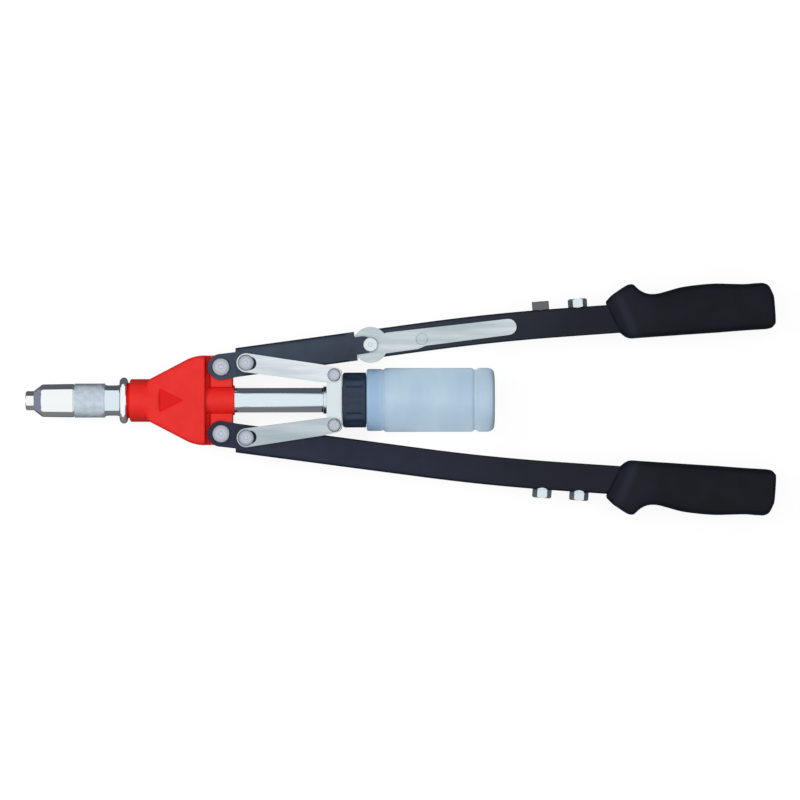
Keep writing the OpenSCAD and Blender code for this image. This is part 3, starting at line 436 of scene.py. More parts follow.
def knurled_housing():
    """A turned sleeve. On its band the radius drops by the depth times the square of the larger of
    two saw waves, which climb round it as left and right helices, so that small pyramids stand
    between the grooves."""
    low, high = reach("nose_housing")
    start, end, outer = low[0], high[0], high[2]
    tip_r, barrel_r, thread_r, bore_r, nipple_r = 7.1, 12.0, 5.05, 9.3, 10.65
    cone_end, knurl_start, wall_end, nipple_front = start + 5.8, end - 22, start + 8, end - 12
    cone_drop, taper_end, shoulder, barrel_end = 0.3, knurl_start - 4, knurl_start - 0.6, end - 0.05
    core_r = barrel_r - 0.7
    sunk_r = core_r - 0.2
    step, lap = 0.1, 0.1
    front = profile((thread_r, start, 0), (tip_r, start, 0.3), (barrel_r - cone_drop, cone_end, 1.2),
                    (barrel_r, taper_end, 3), (barrel_r, shoulder - step, 0.25), (core_r, shoulder, 0.1),
                    (core_r, barrel_end, 0.1), (nipple_r, barrel_end, 0), gap=1.5)
    inside = profile((nipple_r, end - lap, 0), (nipple_r, nipple_front, 0),
                     (bore_r, nipple_front - step, 0), (bore_r, wall_end, 0),
                     (thread_r, wall_end - step, 0), (thread_r, start, 0))
    closed_piece("housing_barrel", [spun(np.concatenate([front, inside]), 160)], CHROME, "riveter_body",
                 "nose_housing", sharp=50)

    pitch, depth, grooves, rows_per_pitch, columns_per_groove = 1.25, 0.3, 62, 5, 6
    front_edge, rear_edge, fade = knurl_start + 0.6, end - 1.6, 0.5
    sleeve_rows = int((end - knurl_start) / pitch * rows_per_pitch)
    sleeve_x = np.linspace(knurl_start + 0.5, end - 1.3, sleeve_rows)
    sleeve = np.concatenate([
        profile((sunk_r, knurl_start, 0), (outer - 0.3, knurl_start, 0.1), (outer, knurl_start + 0.4, 0)),
        np.stack([np.full_like(sleeve_x, outer), sleeve_x], axis=-1),
        profile((outer, end - 1.25, 0), (outer, end, 1.2), (sunk_r, end, 0), (sunk_r, knurl_start, 0),
                gap=0.4)])
    grid = spun(sleeve, grooves * columns_per_groove)
    radius, x = sleeve[:, :1], sleeve[:, 1:]
    angle = np.linspace(0, 1, grid.shape[1], endpoint=False) * grooves
    climb = x / pitch / 2
    left = np.abs((angle + climb) % 1 - 0.5) * 2
    right = np.abs((angle - climb) % 1 - 0.5) * 2
    on_band = np.clip((x - front_edge) / fade, 0, 1) * np.clip((rear_edge - x) / fade, 0, 1)
    shrink = 1 - depth * (radius > barrel_r) * on_band * np.maximum(left, right) ** 2 / radius
    grid[..., 1:] *= shrink[..., None]
    closed_piece("housing_knurl", [grid], KNURL, "riveter_body", "nose_housing",
                 sharp=50)


# Arms. Their centre line is the same for both: straight, a bend whose slope changes evenly, and
# straight. ARM_HALF is half their width seen from above, WALL_IN and WALL_OUT are the heights of
# the front walls, and REAR_HALF is half the depth of the rear part.

PIVOT = middle("pivot_pin_upper")
KNUCKLE = middle("knuckle_pin")
ARM_RISE, ARM_HALF, WEB = 1.77, 10.3, 3.0
FRONT_SLOPE, REAR_SLOPE = math.tan(math.radians(7.66)), math.tan(math.radians(3.97))
BEND_START, BEND_LENGTH = 144.2, 100.0
WALL_IN, WALL_OUT = 8.3, 11.3
REAR_HALF, REAR_WALL = 6.0, 2.5
EYE_R, WEB_START, EAR_DROP = 9.4, 10.4, 2.9
ARM_END = reach("lever_lower")[1][0] - 0.7
# A flat plate lies this much inside the face that it runs into, so that the two don't flicker
INSET = 0.02


def arm_slope(x):
    """Slope of the centre line at x."""
    bent = np.clip((x - PIVOT[0] - BEND_START) / BEND_LENGTH, 0, 1)
    return FRONT_SLOPE + (REAR_SLOPE - FRONT_SLOPE) * bent


def arm_line(x):
    """Height of the centre line at x: the slope, summed from the pivot."""
    bend = PIVOT[0] + BEND_START
    inside = np.clip(x - bend, 0, BEND_LENGTH)
    return (PIVOT[1] + ARM_RISE + FRONT_SLOPE * (np.minimum(x, bend) - PIVOT[0])
            + (FRONT_SLOPE + arm_slope(x)) / 2 * inside
            + REAR_SLOPE * np.maximum(x - bend - BEND_LENGTH, 0))


def across_arm(x, off, z):
    """Points at the distance off outside the centre line and the height z, square to the line."""
    tilt = np.arctan(arm_slope(x))
    return np.stack([x - off * np.sin(tilt), arm_line(x) + off * np.cos(tilt), z + 0 * x], axis=-1)


def plate(x, low, high, z_low, z_high, edge=0.5):
    """A flat plate with rounded edges, between the outlines low and high at the stations x.
    Round each station run the four corners of a rounded rectangle."""
    x, low, high = [np.broadcast_to(value, np.shape(x)).astype(float)[:, None]
                    for value in (x, low, high)]
    half = np.maximum((high - low) / 2, 0)
    side = np.array([1, -1, -1, 1])
    up = np.array([1, 1, -1, -1])
    turn = np.linspace(0, np.pi / 2, 4)
    angle = (np.arange(4)[:, None] * np.pi / 2 + turn).reshape(-1)
    corner_r = np.minimum(edge, half)
    off = (low + high) / 2 + np.repeat(side, 4) * (half - corner_r) + corner_r * np.cos(angle)
    z = (z_low + z_high) / 2 + np.repeat(up, 4) * ((z_high - z_low) / 2 - edge) + edge * np.sin(angle)
    return x, off, z + 0 * x


def placed_plate(x, low, high, z_low, z_high, edge=0.5):
    """A plate whose outlines are distances from the arm's centre line."""
    station, off, z = plate(x, low, high, z_low, z_high, edge)
    return across_arm(np.broadcast_to(station, off.shape), off, z)


def ears():
    """The two side walls from the eye round the lever pivot to the start of the web. Ahead of the
    pivot the outline is the circle of the eye, and behind it straight lines lead to the web."""
    web_x, web_lap = PIVOT[0] + WEB_START, 6
    turn = np.linspace(0, np.pi / 2, 20)
    front = PIVOT[0] - EYE_R * np.cos(turn)
    back = np.linspace(PIVOT[0], PIVOT[0] + WEB_START + web_lap, 10)[1:]
    x = np.concatenate([front, back])
    half = np.concatenate([EYE_R * np.sin(turn), np.full(len(back), EYE_R)])
    share = np.clip((x - PIVOT[0]) / WEB_START, 0, 1)
    tilt = 1 / np.cos(math.atan(FRONT_SLOPE))
    climb = FRONT_SLOPE * np.maximum(x - web_x, 0)
    top = arm_line(web_x) + (ARM_HALF - EAR_DROP) * tilt + climb
    low = arm_line(web_x) - ARM_HALF * tilt + climb
    behind = x > PIVOT[0]
    high_line = np.where(behind, (PIVOT[1] + half) * (1 - share) + top * share, PIVOT[1] + half)
    low_line = np.where(behind, (PIVOT[1] - half) * (1 - share) + low * share, PIVOT[1] - half)
    grids = []
    for z_low, z_high in ((WALL_IN, WALL_OUT), (-WALL_OUT, -WALL_IN)):
        station, y, z = plate(x, low_line, high_line, z_low + INSET, z_high - INSET)
        grids.append(np.stack([np.broadcast_to(station, y.shape), y, z], axis=-1))
    return grids


def channel(x, half, wall, depth, bend=4.6):
    """A pressed channel, open towards the tool's axis. At each station x the outline runs over one
    wall, the web and the other wall, then back along the inside, whose floor lies at the share
    depth of the full depth; the two outer bends are wide and the lips narrow. The first stations
    are turned upright, so that the channel starts square to the tool."""
    lip_cut, inner_lip_cut, floor_cut, upright_mm = 1.3, 0.6, 1.2, 12
    x, half, wall, depth = [np.broadcast_to(value, np.shape(x)).astype(float)
                            for value in (x, half, wall, depth)]
    floor = -ARM_HALF + depth * (2 * ARM_HALF - WEB)
    lip, outer = np.full_like(x, -ARM_HALF), np.full_like(x, ARM_HALF)
    inner = half - wall
    off = np.stack([lip, outer, outer, lip, lip, floor, floor, lip], axis=-1)
    z = np.stack([half, half, -half, -half, -inner, -inner, inner, inner], axis=-1)
    cuts = np.array([lip_cut, bend, bend, lip_cut, inner_lip_cut, floor_cut, floor_cut, inner_lip_cut])
    outline = rounded(np.stack([off, z], axis=-1), cuts)
    near_start = np.clip(1 - (x - x[0]) / upright_mm, 0, 1)
    upright = (near_start * np.sin(np.arctan(arm_slope(x))))[:, None]
    return across_arm(x[:, None] + upright * outline[..., 0], outline[..., 0], outline[..., 1])


def stations(start, end, gap, blocks=()):
    """Stations along an arm, with a close pair at each end of every block."""
    apart = 0.01
    x = np.linspace(start, end, int((end - start) / gap) + 2)
    edges = np.array([edge + step for edge in np.ravel(blocks) for step in (-apart, apart)])
    return np.unique(np.concatenate([x, edges]))


def hollow_share(x, blocks):
    """1 where the channel is open and 0 in each block of steel that fills it."""
    share = np.ones_like(x)
    for start, end in blocks:
        share[(x > start) & (x < end)] = 0
    return share


def store_blocks(*spares):
    """The ends of the two threaded blocks under the stored nosepieces."""
    half, back = 7.5, 0.6
    centres = [middle(name)[0] for name in spares]
    return [(centre - half + back, centre + half + back) for centre in sorted(centres)]


def edge_shade(grids, pressed):
    """How near each point of the channel, the grid numbered pressed, lies to the arm's edges seen
    from above: 0 inside and 1 on the edge. The flat plates have no such shade."""
    edge_width, fade = 1.6, 1.2
    shades = [np.zeros(grid.shape[:2]) for grid in grids]
    x, y = grids[pressed][..., 0], np.abs(grids[pressed][..., 1])
    off = np.abs(y - arm_line(x)) * np.cos(np.arctan(arm_slope(x)))
    shades[pressed] = np.clip((off - ARM_HALF + edge_width) / fade, 0, 1)
    return shades


def front_arm():
    """Ears, a channel, and two tongues that narrow to a round end under the knuckle pin's head."""
    clear, gap = 0.3, 6
    wall_end = KNUCKLE[0] - ARM_HALF - clear
    x = stations(PIVOT[0] + WEB_START, wall_end - 1, gap)
    grids = ears() + [channel(x, WALL_OUT, WALL_OUT - WALL_IN, 1)]
    tongue_half, tongue_r, neck, drop, root, step = 6.3, 5.4, 4.5, 0.5, 6, 0.01
    turn = np.linspace(0, np.pi / 2, 12)
    reach_x = np.concatenate([[wall_end - root, wall_end - step, wall_end, KNUCKLE[0] - neck],
                              KNUCKLE[0] + tongue_r * np.sin(turn)])
    half = np.concatenate([[ARM_HALF, ARM_HALF, tongue_half, tongue_half], tongue_r * np.cos(turn)])
    shift = np.concatenate([np.zeros(4), np.full(12, -drop)])
    for z_low, z_high in ((WALL_IN, WALL_OUT), (-WALL_OUT, -WALL_IN)):
        grids.append(placed_plate(reach_x, shift - half, shift + half, z_low + INSET, z_high - INSET))
    closed_piece("front_arm", grids, PAINT, "upper_arm", "lever_upper_front",
                 shade=edge_shade(grids, 2), mark="edge")


def rear_arm():
    """A round hinge end with a heel, then a channel with two threaded blocks."""
    drop, solid, edge, gap = 0.5, 15, 0.8, 5
    turn = np.linspace(-np.pi / 2, 0, 20)
    x = np.concatenate([KNUCKLE[0] + ARM_HALF * np.sin(turn), [KNUCKLE[0] + 3]])
    half = np.concatenate([ARM_HALF * np.cos(turn), [ARM_HALF]])
    shift = np.concatenate([np.full(20, -drop), [0]])
    grids = [placed_plate(x, shift - half, shift + half - INSET, -REAR_HALF + INSET,
                          REAR_HALF - INSET, edge)]
    heel_length, heel_low, heel_high, heel_half = 14.6, -3.0, ARM_HALF - WEB - 0.3, REAR_HALF - 2 * INSET
    heel = np.array([KNUCKLE[0] - heel_length, KNUCKLE[0]])
    grids.append(placed_plate(heel, heel_low, heel_high, -heel_half, heel_half, edge))
    hinge_end = KNUCKLE[0] + solid
    stores = store_blocks("spare_nosepiece_1", "spare_nosepiece_2")
    x = stations(KNUCKLE[0] - 0.4, ARM_END, gap, stores + [(hinge_end, hinge_end)])
    blocks = [(KNUCKLE[0] - 1, hinge_end)] + stores
    grids.append(channel(x, REAR_HALF, REAR_WALL, hollow_share(x, blocks), bend=2.6))
    closed_piece("rear_arm", grids, PAINT, "upper_arm_end", "lever_upper_rear",
                 shade=edge_shade(grids, 2), mark="edge")


def lower_arm():
    """Ears, then one channel that grows shallower over its taper, which eases in and out: the share
    less the sine of its full turn over two full turns."""
    taper_start, taper_length, ease, gap = 82.0, 72.0, 14.0, 4
    blocks = store_blocks("spare_nosepiece_3", "spare_nosepiece_4")
    x = stations(PIVOT[0] + WEB_START, ARM_END, gap, blocks)
    place = np.clip((x - PIVOT[0] - taper_start + ease / 2) / (taper_length + ease), 0, 1)
    share = place - np.sin(2 * np.pi * place) / (4 * np.pi)
    front_wall = WALL_OUT - WALL_IN
    half = WALL_OUT + (REAR_HALF - WALL_OUT) * share
    wall = front_wall + (REAR_WALL - front_wall) * share
    grids = ears() + [channel(x, half, wall, hollow_share(x, blocks))]
    grids = [grid * (1, -1, 1) for grid in grids]
    closed_piece("lower_arm", grids, SHADED_PAINT, "lower_arm", "lever_lower",
                 shade=edge_shade(grids, 2), mark="edge")


# Grips. Each row holds the share of the length, the shares of the rubber's thickness on the outer
# and on the inner edge, and the share of half the depth.

GRIP_SHAPE = np.array([
    (0, 0.3, 0.05, 0.6), (0.035, 0.68, 0.57, 0.7), (0.07, 0.94, 0.88, 0.82),
    (0.105, 1.18, 0.98, 0.9), (0.135, 1.35, 0.98, 0.95), (0.15, 1.38, 0.98, 0.96),
    (0.165, 1.36, 0.97, 0.95), (0.2, 0.95, 0.97, 0.93), (0.24, 0.66, 0.97, 0.92),
    (0.3, 0.56, 0.97, 0.92), (0.36, 0.68, 0.98, 0.94), (0.44, 0.88, 0.98, 0.97),
    (0.55, 0.985, 0.99, 1), (0.66, 0.99, 1, 1), (0.76, 0.88, 0.98, 1), (0.84, 0.802, 0.98, 1),
    (0.91, 0.806, 0.99, 0.99), (0.95, 0.762, 0.98, 0.96), (0.98, 0.49, 0.8, 0.85),
    (1, -0.1, 0.3, 0.6)])


def smooth_rows(table, rows):
    """The columns of a table over its first column, read at that many even rows and at the table's
    own: between two rows run cubics that take each row's value and slope."""
    place, values = table[:, 0], table[:, 1:]
    fine = np.unique(np.concatenate([np.linspace(0, 1, rows), place]))
    slope = np.gradient(values, place, axis=0)
    cell = np.clip(np.searchsorted(place, fine, side="right") - 1, 0, len(place) - 2)
    width = (place[cell + 1] - place[cell])[:, None]
    t = (fine - place[cell])[:, None] / width
    smooth = ((2 * t ** 3 - 3 * t ** 2 + 1) * values[cell]
              + (t ** 3 - 2 * t ** 2 + t) * width * slope[cell]
              + (3 * t ** 2 - 2 * t ** 3) * values[cell + 1]
              + (t ** 3 - t ** 2) * width * slope[cell + 1])
    return fine, smooth


def squared_circle(power, count):
    """A circle that swells towards a square: each of cosine and sine keeps its sign and is raised
    to two over the power."""
    angle = np.linspace(0, 2 * np.pi, count, endpoint=False)
    cos, sin = np.cos(angle), np.sin(angle)
    return np.sign(cos) * np.abs(cos) ** (2 / power), np.sign(sin) * np.abs(sin) ** (2 / power)


def moulded_grip(name, side, body, node):
    """A loft of rounded squares. Shares of the rubber's thickness on both edges and of half the
    depth follow smooth curves through the stations, the front edge leans back towards the inner
    edge, and the front rows turn into the mouth that takes the arm. worn is the sum of a narrow
    and a wide bell curve along the grip, behind the bevel at its front."""
    length, outer_t, inner_t, half_t, past_arm = 120.0, 10.0, 4.9, 14.0, 10.98
    lean, lean_share, count = 8.5, 0.2, 72
    start = ARM_END + past_arm - length
    fine, shares = smooth_rows(GRIP_SHAPE, 90)
    top = ARM_HALF + shares[:, :1] * outer_t
    bottom = -ARM_HALF - shares[:, 1:2] * inner_t
    over, up = squared_circle(2.7, count)
    lean_at = lean * np.maximum(0, 1 - fine / lean_share)[:, None]
    x = start + fine[:, None] * length + lean_at * (1 - over) / 2
    off = (top + bottom) / 2 + (top - bottom) / 2 * over
    z = shares[:, 2:] * half_t * up

    mouth_over, mouth_up = squared_circle(14, count)
    gap, mouth_depth, mouth_front, lip_front = 0.12, 9, 0.4, 0.3
    mouth_x = start + lean * (1 - mouth_over) / 2
    mouth_off, mouth_z = mouth_over * (ARM_HALF + gap), mouth_up * (REAR_HALF + gap)
    lip_x = (x[0] + mouth_x) / 2 - lip_front
    lip_off, lip_z = (off[0] + mouth_off) / 2, (z[0] + mouth_z) / 2
    end_step, end_share, tip_share = 0.01, 0.86, 0.1
    x = np.concatenate([[mouth_x + mouth_depth, mouth_x + mouth_front, lip_x], x,
                        [x[-1] + end_step], [x[-1] + 2 * end_step]])
    off = np.concatenate([[mouth_off, mouth_off, lip_off], off,
                          [off[-1] * end_share], [off[-1] * tip_share]])
    z = np.concatenate([[mouth_z, mouth_z, lip_z], z, [z[-1] * end_share], [z[-1] * tip_share]])
    grid = across_arm(x, off, z) * (1, side, 1)

    bevel_end, bevel_slant = 0.085, 0.03
    past_front = (x - start) / length - bevel_end - bevel_slant * (1 - off / ARM_HALF)
    narrow = np.exp(-(past_front / 0.03) ** 2)
    wide = np.exp(-((past_front - 0.06) / 0.13) ** 2)
    # painted highlight: paler colour along the grip behind its front bevel
    painted_highlight = 0.9 * narrow + 0.3 * wide
    closed_piece(name, [grid], RUBBER, body, node, sharp=60, shade=[painted_highlight], mark="painted_highlight")


# Pins

def headed_pins(node, body, shank_r, sides=(0,), finish=PIN):
    """Turned pins: a domed head with a bevelled rim and a steep centre dimple, a shank, and a
    groove for the retaining ring. sides tells the pins of a pair apart: one up, one down. rim
    rises from 0 at the dimple to 1 at the rim, in proportion to the distance from the axis."""
    low, high = reach(node)
    tail, top = low[2], high[2]
    head_r = (high[0] - low[0]) / 2
    head_h, dimple_r = 2.4, head_r * 0.3
    bevel, bevel_start, dome, floor_r, floor_depth = 0.9, 1.0, 0.35, dimple_r * 0.75, 0.9
    seat, groove, ring = top - head_h, 0.5, 1.25
    outline = profile(
        (0, tail, 0), (shank_r - groove, tail, 0.1), (shank_r, tail + groove, 0.2),
        (shank_r, -seat - ring, 0), (shank_r - groove, -seat - ring, 0), (shank_r - groove, -seat, 0),
        (shank_r, -seat, 0), (shank_r, seat, 0), (head_r, seat, 0.1), (head_r, seat + bevel_start, 0.6),
        (head_r - bevel, top - dome, 0.6), (dimple_r, top, 0.15), (floor_r, top - floor_depth, 0.15),
        (0, top - 0.8, 0))
    grid = spun(outline, 72)[..., [1, 2, 0]]
    centre = middle(node) * (1, 1, 0)
    spread = (high[1] - low[1]) / 2 - head_r
    grids = [grid + centre + (0, side * spread, 0) for side in sides]
    # painted shade: rim darkens the head's colour towards its edge
    rim = np.clip((np.hypot(grid[..., 0], grid[..., 1]) - dimple_r) / (head_r - dimple_r), 0, 1)
    closed_piece(node + "_turned", grids, finish, body, node, sharp=35,
                 shade=[rim] * len(grids), mark="rim")


# Cap and bottle

def fluted_cap():
    """A cup whose wall dips in sixteen rounded flutes: the radius falls by half of one minus a
    cosine, to the power 1.6, and the dips fade out before both rims."""
    low, high = reach("collector_cap")
    start, end, outer = low[0], high[0], high[2]
    hub_r, cavity_r, wall, hub_step, hub_length = 8.95, 17.2, 4.4, 0.5, 0.4
    flutes, columns_per_flute, depth, softness = 16, 16, 1.1, 1.6
    front_rim, rear_rim, fade = 2.2, 1.4, 1.6
    outside = profile((hub_r, start, 0), (hub_r + hub_step, start, 0.1),
                      (hub_r + hub_step, start + hub_length, 0.1), (outer, start + hub_length, 2.2),
                      (outer, end, 1.1), (cavity_r, end, 0.2), (cavity_r, start + wall, 0.5),
                      (hub_r, start + wall, 0), (hub_r, start, 0), gap=0.8)
    grid = spun(outside, flutes * columns_per_flute)
    radius, x = outside[:, :1], outside[:, 1:]
    angle = np.linspace(0, 2 * np.pi * flutes, grid.shape[1], endpoint=False)
    between = np.clip((x - start - front_rim) / fade, 0, 1) * np.clip((end - rear_rim - x) / fade, 0, 1)
    on_wall = eased(between) * (radius > outer - 0.01)
    dip = (0.5 - 0.5 * np.cos(angle)) ** softness
    grid[..., 1:] *= (1 - depth / outer * on_wall * dip)[..., None]
    closed_piece("fluted_cap", [grid], NYLON, "puller", "collector_cap")


def blown_bottle():
    """A blown bottle, turned: front band, body, a rounded groove, base band and a hollow base; the
    inside follows the outside at the thickness of the wall. thin is a bell curve along the axis at
    each of the two grooves."""
    low, high = reach("mandrel_bottle")
    neck_start, back, outer = low[0], high[0] - 0.2, high[2]
    front = back - 92
    neck_r, band_r, wall, band, base = 16.9, outer - 0.7, 1.4, 12.0, 13.0
    band_groove, base_groove, hollow = 0.9, 1.3, 1.2
    groove_r, band_end, base_start = outer - base_groove, front + band, back - base
    corners = [(neck_r, neck_start, 0), (neck_r, front, 0.6), (band_r, front, 1.8),
               (band_r, band_end - 1.2, 0.8), (band_r - band_groove, band_end, 0.8),
               (outer, band_end + 1.3, 1.2), (outer, base_start - 3, 1),
               (groove_r, base_start - 1.8, 0.8), (groove_r, base_start, 0.8),
               (outer, base_start + 1.3, 1), (outer, back, 5.5), (outer * 0.45, back, 5),
               (0, back - hollow, 0)]

    def wall_inside(x):
        """The place of an inner corner: one wall further in at the front and at the base."""
        if neck_start < x <= front + 0.1:
            return x + wall
        return x - wall if x >= back - 1.5 else x

    outside = profile(*corners, gap=1.5)
    inside = profile(*[(max(radius - wall, 0), wall_inside(x), cut) for radius, x, cut in corners],
                     gap=1.5)
    grid = spun(np.concatenate([outside, inside[::-1], outside[:1]]), 128)
    # painted highlight: paler colour in a bell curve at each groove
    paleness, groove_half = 0.7, 1.1
    groove_highlight = paleness * sum(np.exp(-((grid[..., 0] - groove) / groove_half) ** 2)
                          for groove in (band_end + 0.3, base_start - 0.9))
    closed_piece("blown_bottle", [grid], POLYTHENE, "bottle", "mandrel_bottle",
                 shade=[groove_highlight], mark="groove_highlight")


# Cast body

def cast_body():
    """The neck and wedge are one skin: at each station and angle the radius is the smooth larger one of a
    round neck and a flattened wedge, whose two half sizes meet in a soft corner. A triangular hollow is
    pressed into both faces. The lug, its boss and the bore are further skins. The attribute hollow is 1
    in the triangles, the groove at the neck and the trough at the lug, where it paints shade as a deeper
    red."""
    low, high = reach("body_casting")
    neck_start, boss_end = low[0], high[0]
    wedge_half, wedge_half_t, neck_r = high[1], 14.5, 15.4
    neck_end, end = neck_start + 16.4, PIVOT[0] - 11.2
    flank, shoulder = math.radians(27.7), 31.0
    thread_r, chamber_r, guide_r = 10.65, 9.4, 8.9

    # Angles of points that lie evenly round the wedge at its widest
    gap, side_points, face_points = 0.5, 18, 56
    side_z = np.linspace(0, wedge_half_t - gap, side_points)
    face_y = np.linspace(wedge_half - gap, 0, face_points)
    quarter = np.arctan2(np.concatenate([side_z, np.full(face_points, wedge_half_t)]),
                         np.concatenate([np.full(side_points, wedge_half), face_y]))
    half_turn = np.concatenate([quarter, np.pi - quarter[-2::-1]])
    angle = np.concatenate([half_turn, np.pi + half_turn[1:-1]])

    def wedge_radius(half, thick, power=13.0):
        """Smooth smaller one of the distances to the two pairs of sides."""
        over = np.abs(np.cos(angle)) / half[:, None]
        up = np.abs(np.sin(angle)) / thick[:, None]
        return (over ** power + up ** power) ** (-1 / power)

    def flank_half(x):
        """Half the wedge's width at x: a straight flank that turns into a large circle."""
        on_line = neck_r + (x - neck_end) * math.tan(flank)
        turn = np.clip((end - x) / shoulder, 0, 1)
        on_arc = wedge_half - shoulder + shoulder * np.sqrt(1 - turn ** 2)
        return np.where(turn < math.sin(flank), on_arc, on_line)

    # The outside of neck and wedge, whose neck sinks away under the wedge
    edge_r = 1.5
    recess_base, recess_length, recess_half, recess_depth = neck_end + 6.7, 18.0, 8.8, 0.8
    x = np.concatenate([np.linspace(neck_start, neck_end - 2, 14),
                        np.linspace(neck_end - 1.6, end - edge_r, 76)])
    least_half, sink_depth, sink_start, sink_length = 6.0, 1.6, recess_base - 1.0, 1.6
    sunk = eased(np.clip((x - sink_start) / sink_length, 0, 1))
    neck = (neck_r - sink_depth * sunk)[:, None] + 0 * angle
    growth_length, first_share, sharpness = 3, 0.9, 40.0
    grown = np.clip((x - neck_end + growth_length) / growth_length, 0, 1)[:, None]
    wedge = wedge_radius(np.maximum(flank_half(x), least_half), np.full_like(x, wedge_half_t))
    wedge = wedge * (first_share + (1 - first_share) * grown)
    radius = np.where(grown > 0, (wedge ** sharpness + neck ** sharpness) ** (1 / sharpness), neck)

    # The groove and lip at the front, the rounded rear edge, and the bore
    groove_r, groove_end = neck_r - 2.6, neck_start + 1.5
    lip_r, lip_end, step = neck_r - 1.2, neck_start + 3, 0.1
    front = profile((thread_r, neck_start, 0), (groove_r, neck_start, 0.1), (groove_r, groove_end, 0.1),
                    (lip_r, groove_end + step, 0.3), (neck_r, lip_end - 0.6, 0.7), (neck_r, lip_end, 0))
    behind = x > lip_end + step
    turn = np.linspace(0, np.pi / 2, 5)[1:]
    rear_x = end - edge_r + edge_r * np.sin(turn)
    rear_inset = edge_r * (1 - np.cos(turn))
    rear = wedge_radius(wedge_half - rear_inset, wedge_half_t - rear_inset)
    guide_start, thread_end, bore_step = end - 12, neck_start + 14, 0.01
    bore = np.array([(end, guide_r), (guide_start, guide_r), (guide_start - bore_step, chamber_r),
                     (thread_end, chamber_r), (thread_end - bore_step, thread_r), (neck_start, thread_r)])
    rows_x = np.concatenate([front[:, 1], x[behind], rear_x, bore[:, 0]])
    rows_r = np.concatenate([front[:, :1] + 0 * angle, radius[behind], rear, bore[:, 1:] + 0 * angle])
    y, z = rows_r * np.cos(angle), rows_r * np.sin(angle)
    place = rows_x[:, None] + 0 * angle

    # The triangular hollow in both faces
    recess_wall, face_z = 0.7, 13
    along = (place - recess_base) / recess_length
    inside = np.minimum(np.clip((place - recess_base) / recess_wall, 0, 1),
                        np.clip(((1 - along) * recess_half - np.abs(y)) / recess_wall, 0, 1))
    inside = eased(np.where((along > 0) & (along < 1) & (np.abs(z) > face_z), inside, 0))
    z = z - np.sign(z) * recess_depth * inside
    groove = (place < groove_end + 0.05) & (rows_r < neck_r - 2)
    outside = np.stack([place, y, z], axis=-1)

    # The lug with a trough along the wedge, and the boss round the tube
    lug_half_t, lug_r, lug_inner, boss_r, lap = 8.0, 8.2, 9.6, 10.8, 2
    trough_w, trough_depth, slant = 3.0, 3.2, 0.7
    turn = np.linspace(0, np.pi / 2, 12)
    reach_y = np.concatenate([[lug_inner, PIVOT[1]], PIVOT[1] + lug_r * np.sin(turn[1:])])
    lug_x = np.concatenate([[PIVOT[0] + lug_r] * 2, PIVOT[0] + lug_r * np.cos(turn[1:])])
    trough_z = lug_half_t - trough_depth
    trough = np.array([(end - lap, trough_z), (end + trough_w, trough_z),
                       (end + trough_w + slant, lug_half_t)])
    corners = np.zeros((len(reach_y), 8, 2))
    corners[:, :3] = trough
    corners[:, 3, 0] = corners[:, 4, 0] = lug_x
    corners[:, 3, 1], corners[:, 4, 1] = lug_half_t, -lug_half_t
    corners[:, 5:] = trough[::-1] * (1, -1)
    outline = rounded(corners, np.array([0, 0.5, 0.5, 0.9, 0.9, 0.5, 0.5, 0]))
    lug = np.stack([outline[..., 0], reach_y[:, None] + 0 * outline[..., 0], outline[..., 1]], axis=-1)
    boss = spun(profile((guide_r, end - lap, 0), (boss_r, end - lap, 0), (boss_r, boss_end, 1.0),
                        (guide_r, boss_end, 0.4), (guide_r, end - lap, 0)), 96)
    # painted shade: the triangles, the neck groove and the lug's trough get the deeper red
    in_trough = (lug[..., 0] < end + trough_w + 0.1) * 1.0
    shade = [np.maximum(inside, groove), in_trough, in_trough, np.zeros(boss.shape[:2])]
    closed_piece("cast_body", [outside, lug, lug * (1, -1, 1), boss], RED, "riveter_body",
                 "body_casting", sharp=45, shade=shade)


# Spring behind the jaw pusher

def coiled_spring():
    """A round wire swept along a helix round the axis. It rides with the pusher, and its front end stays
    on the pusher's flange."""
    low, high = reach("jaw_spring")
    wire_r, turns, sides, steps, travel = 0.5, 8, 10, 28, 2.901
    coil_r = high[2] - wire_r
    turn = np.linspace(0, 2 * np.pi * turns, turns * steps + 1)[:, None]
    spoke = np.linspace(0, 2 * np.pi, sides, endpoint=False)
    along = low[0] + wire_r + (high[0] - low[0] - 2 * wire_r) * turn / turn[-1]
    radius = coil_r + wire_r * np.cos(spoke)
    x = along + wire_r * np.sin(spoke)
    grid = np.stack([x, radius * np.cos(turn), radius * np.sin(turn)], axis=-1)
    piece = closed_piece("coiled_spring", [grid], BLUED, "jaw_pusher", "jaw_spring")
    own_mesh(piece)


knurled_housing()
cast_body()
front_arm()
rear_arm()
lower_arm()
moulded_grip("grip_skin_upper", 1, "upper_arm_end", "grip_upper")
moulded_grip("grip_skin_lower", -1, "lower_arm", "grip_lower")
pivot_shank_r, link_shank_r = 4.5, 3.4
headed_pins("pivot_pin_upper", "riveter_body", pivot_shank_r)
headed_pins("pivot_pin_lower", "riveter_body", pivot_shank_r)
headed_pins("link_pin_upper", "upper_arm", link_shank_r)
headed_pins("link_pin_lower", "lower_arm", link_shank_r)
headed_pins("yoke_pins", "puller", link_shank_r, sides=(1, -1))
headed_pins("knuckle_pin", "upper_arm", link_shank_r, finish=NICKEL)
fluted_cap()
blown_bottle()
coiled_spring()


# Studio: white floor and surround, a dome that is brighter above, one weak soft lamp, and grey
# flags that only mirrors see, which draw the dark edges on the polished parts

# The place on the tool that lies in the middle of the photograph
PICTURE_CENTRE = (269.3, -0.05)
SQUARE = ((-1, -1), (1, -1), (1, 1), (-1, 1))


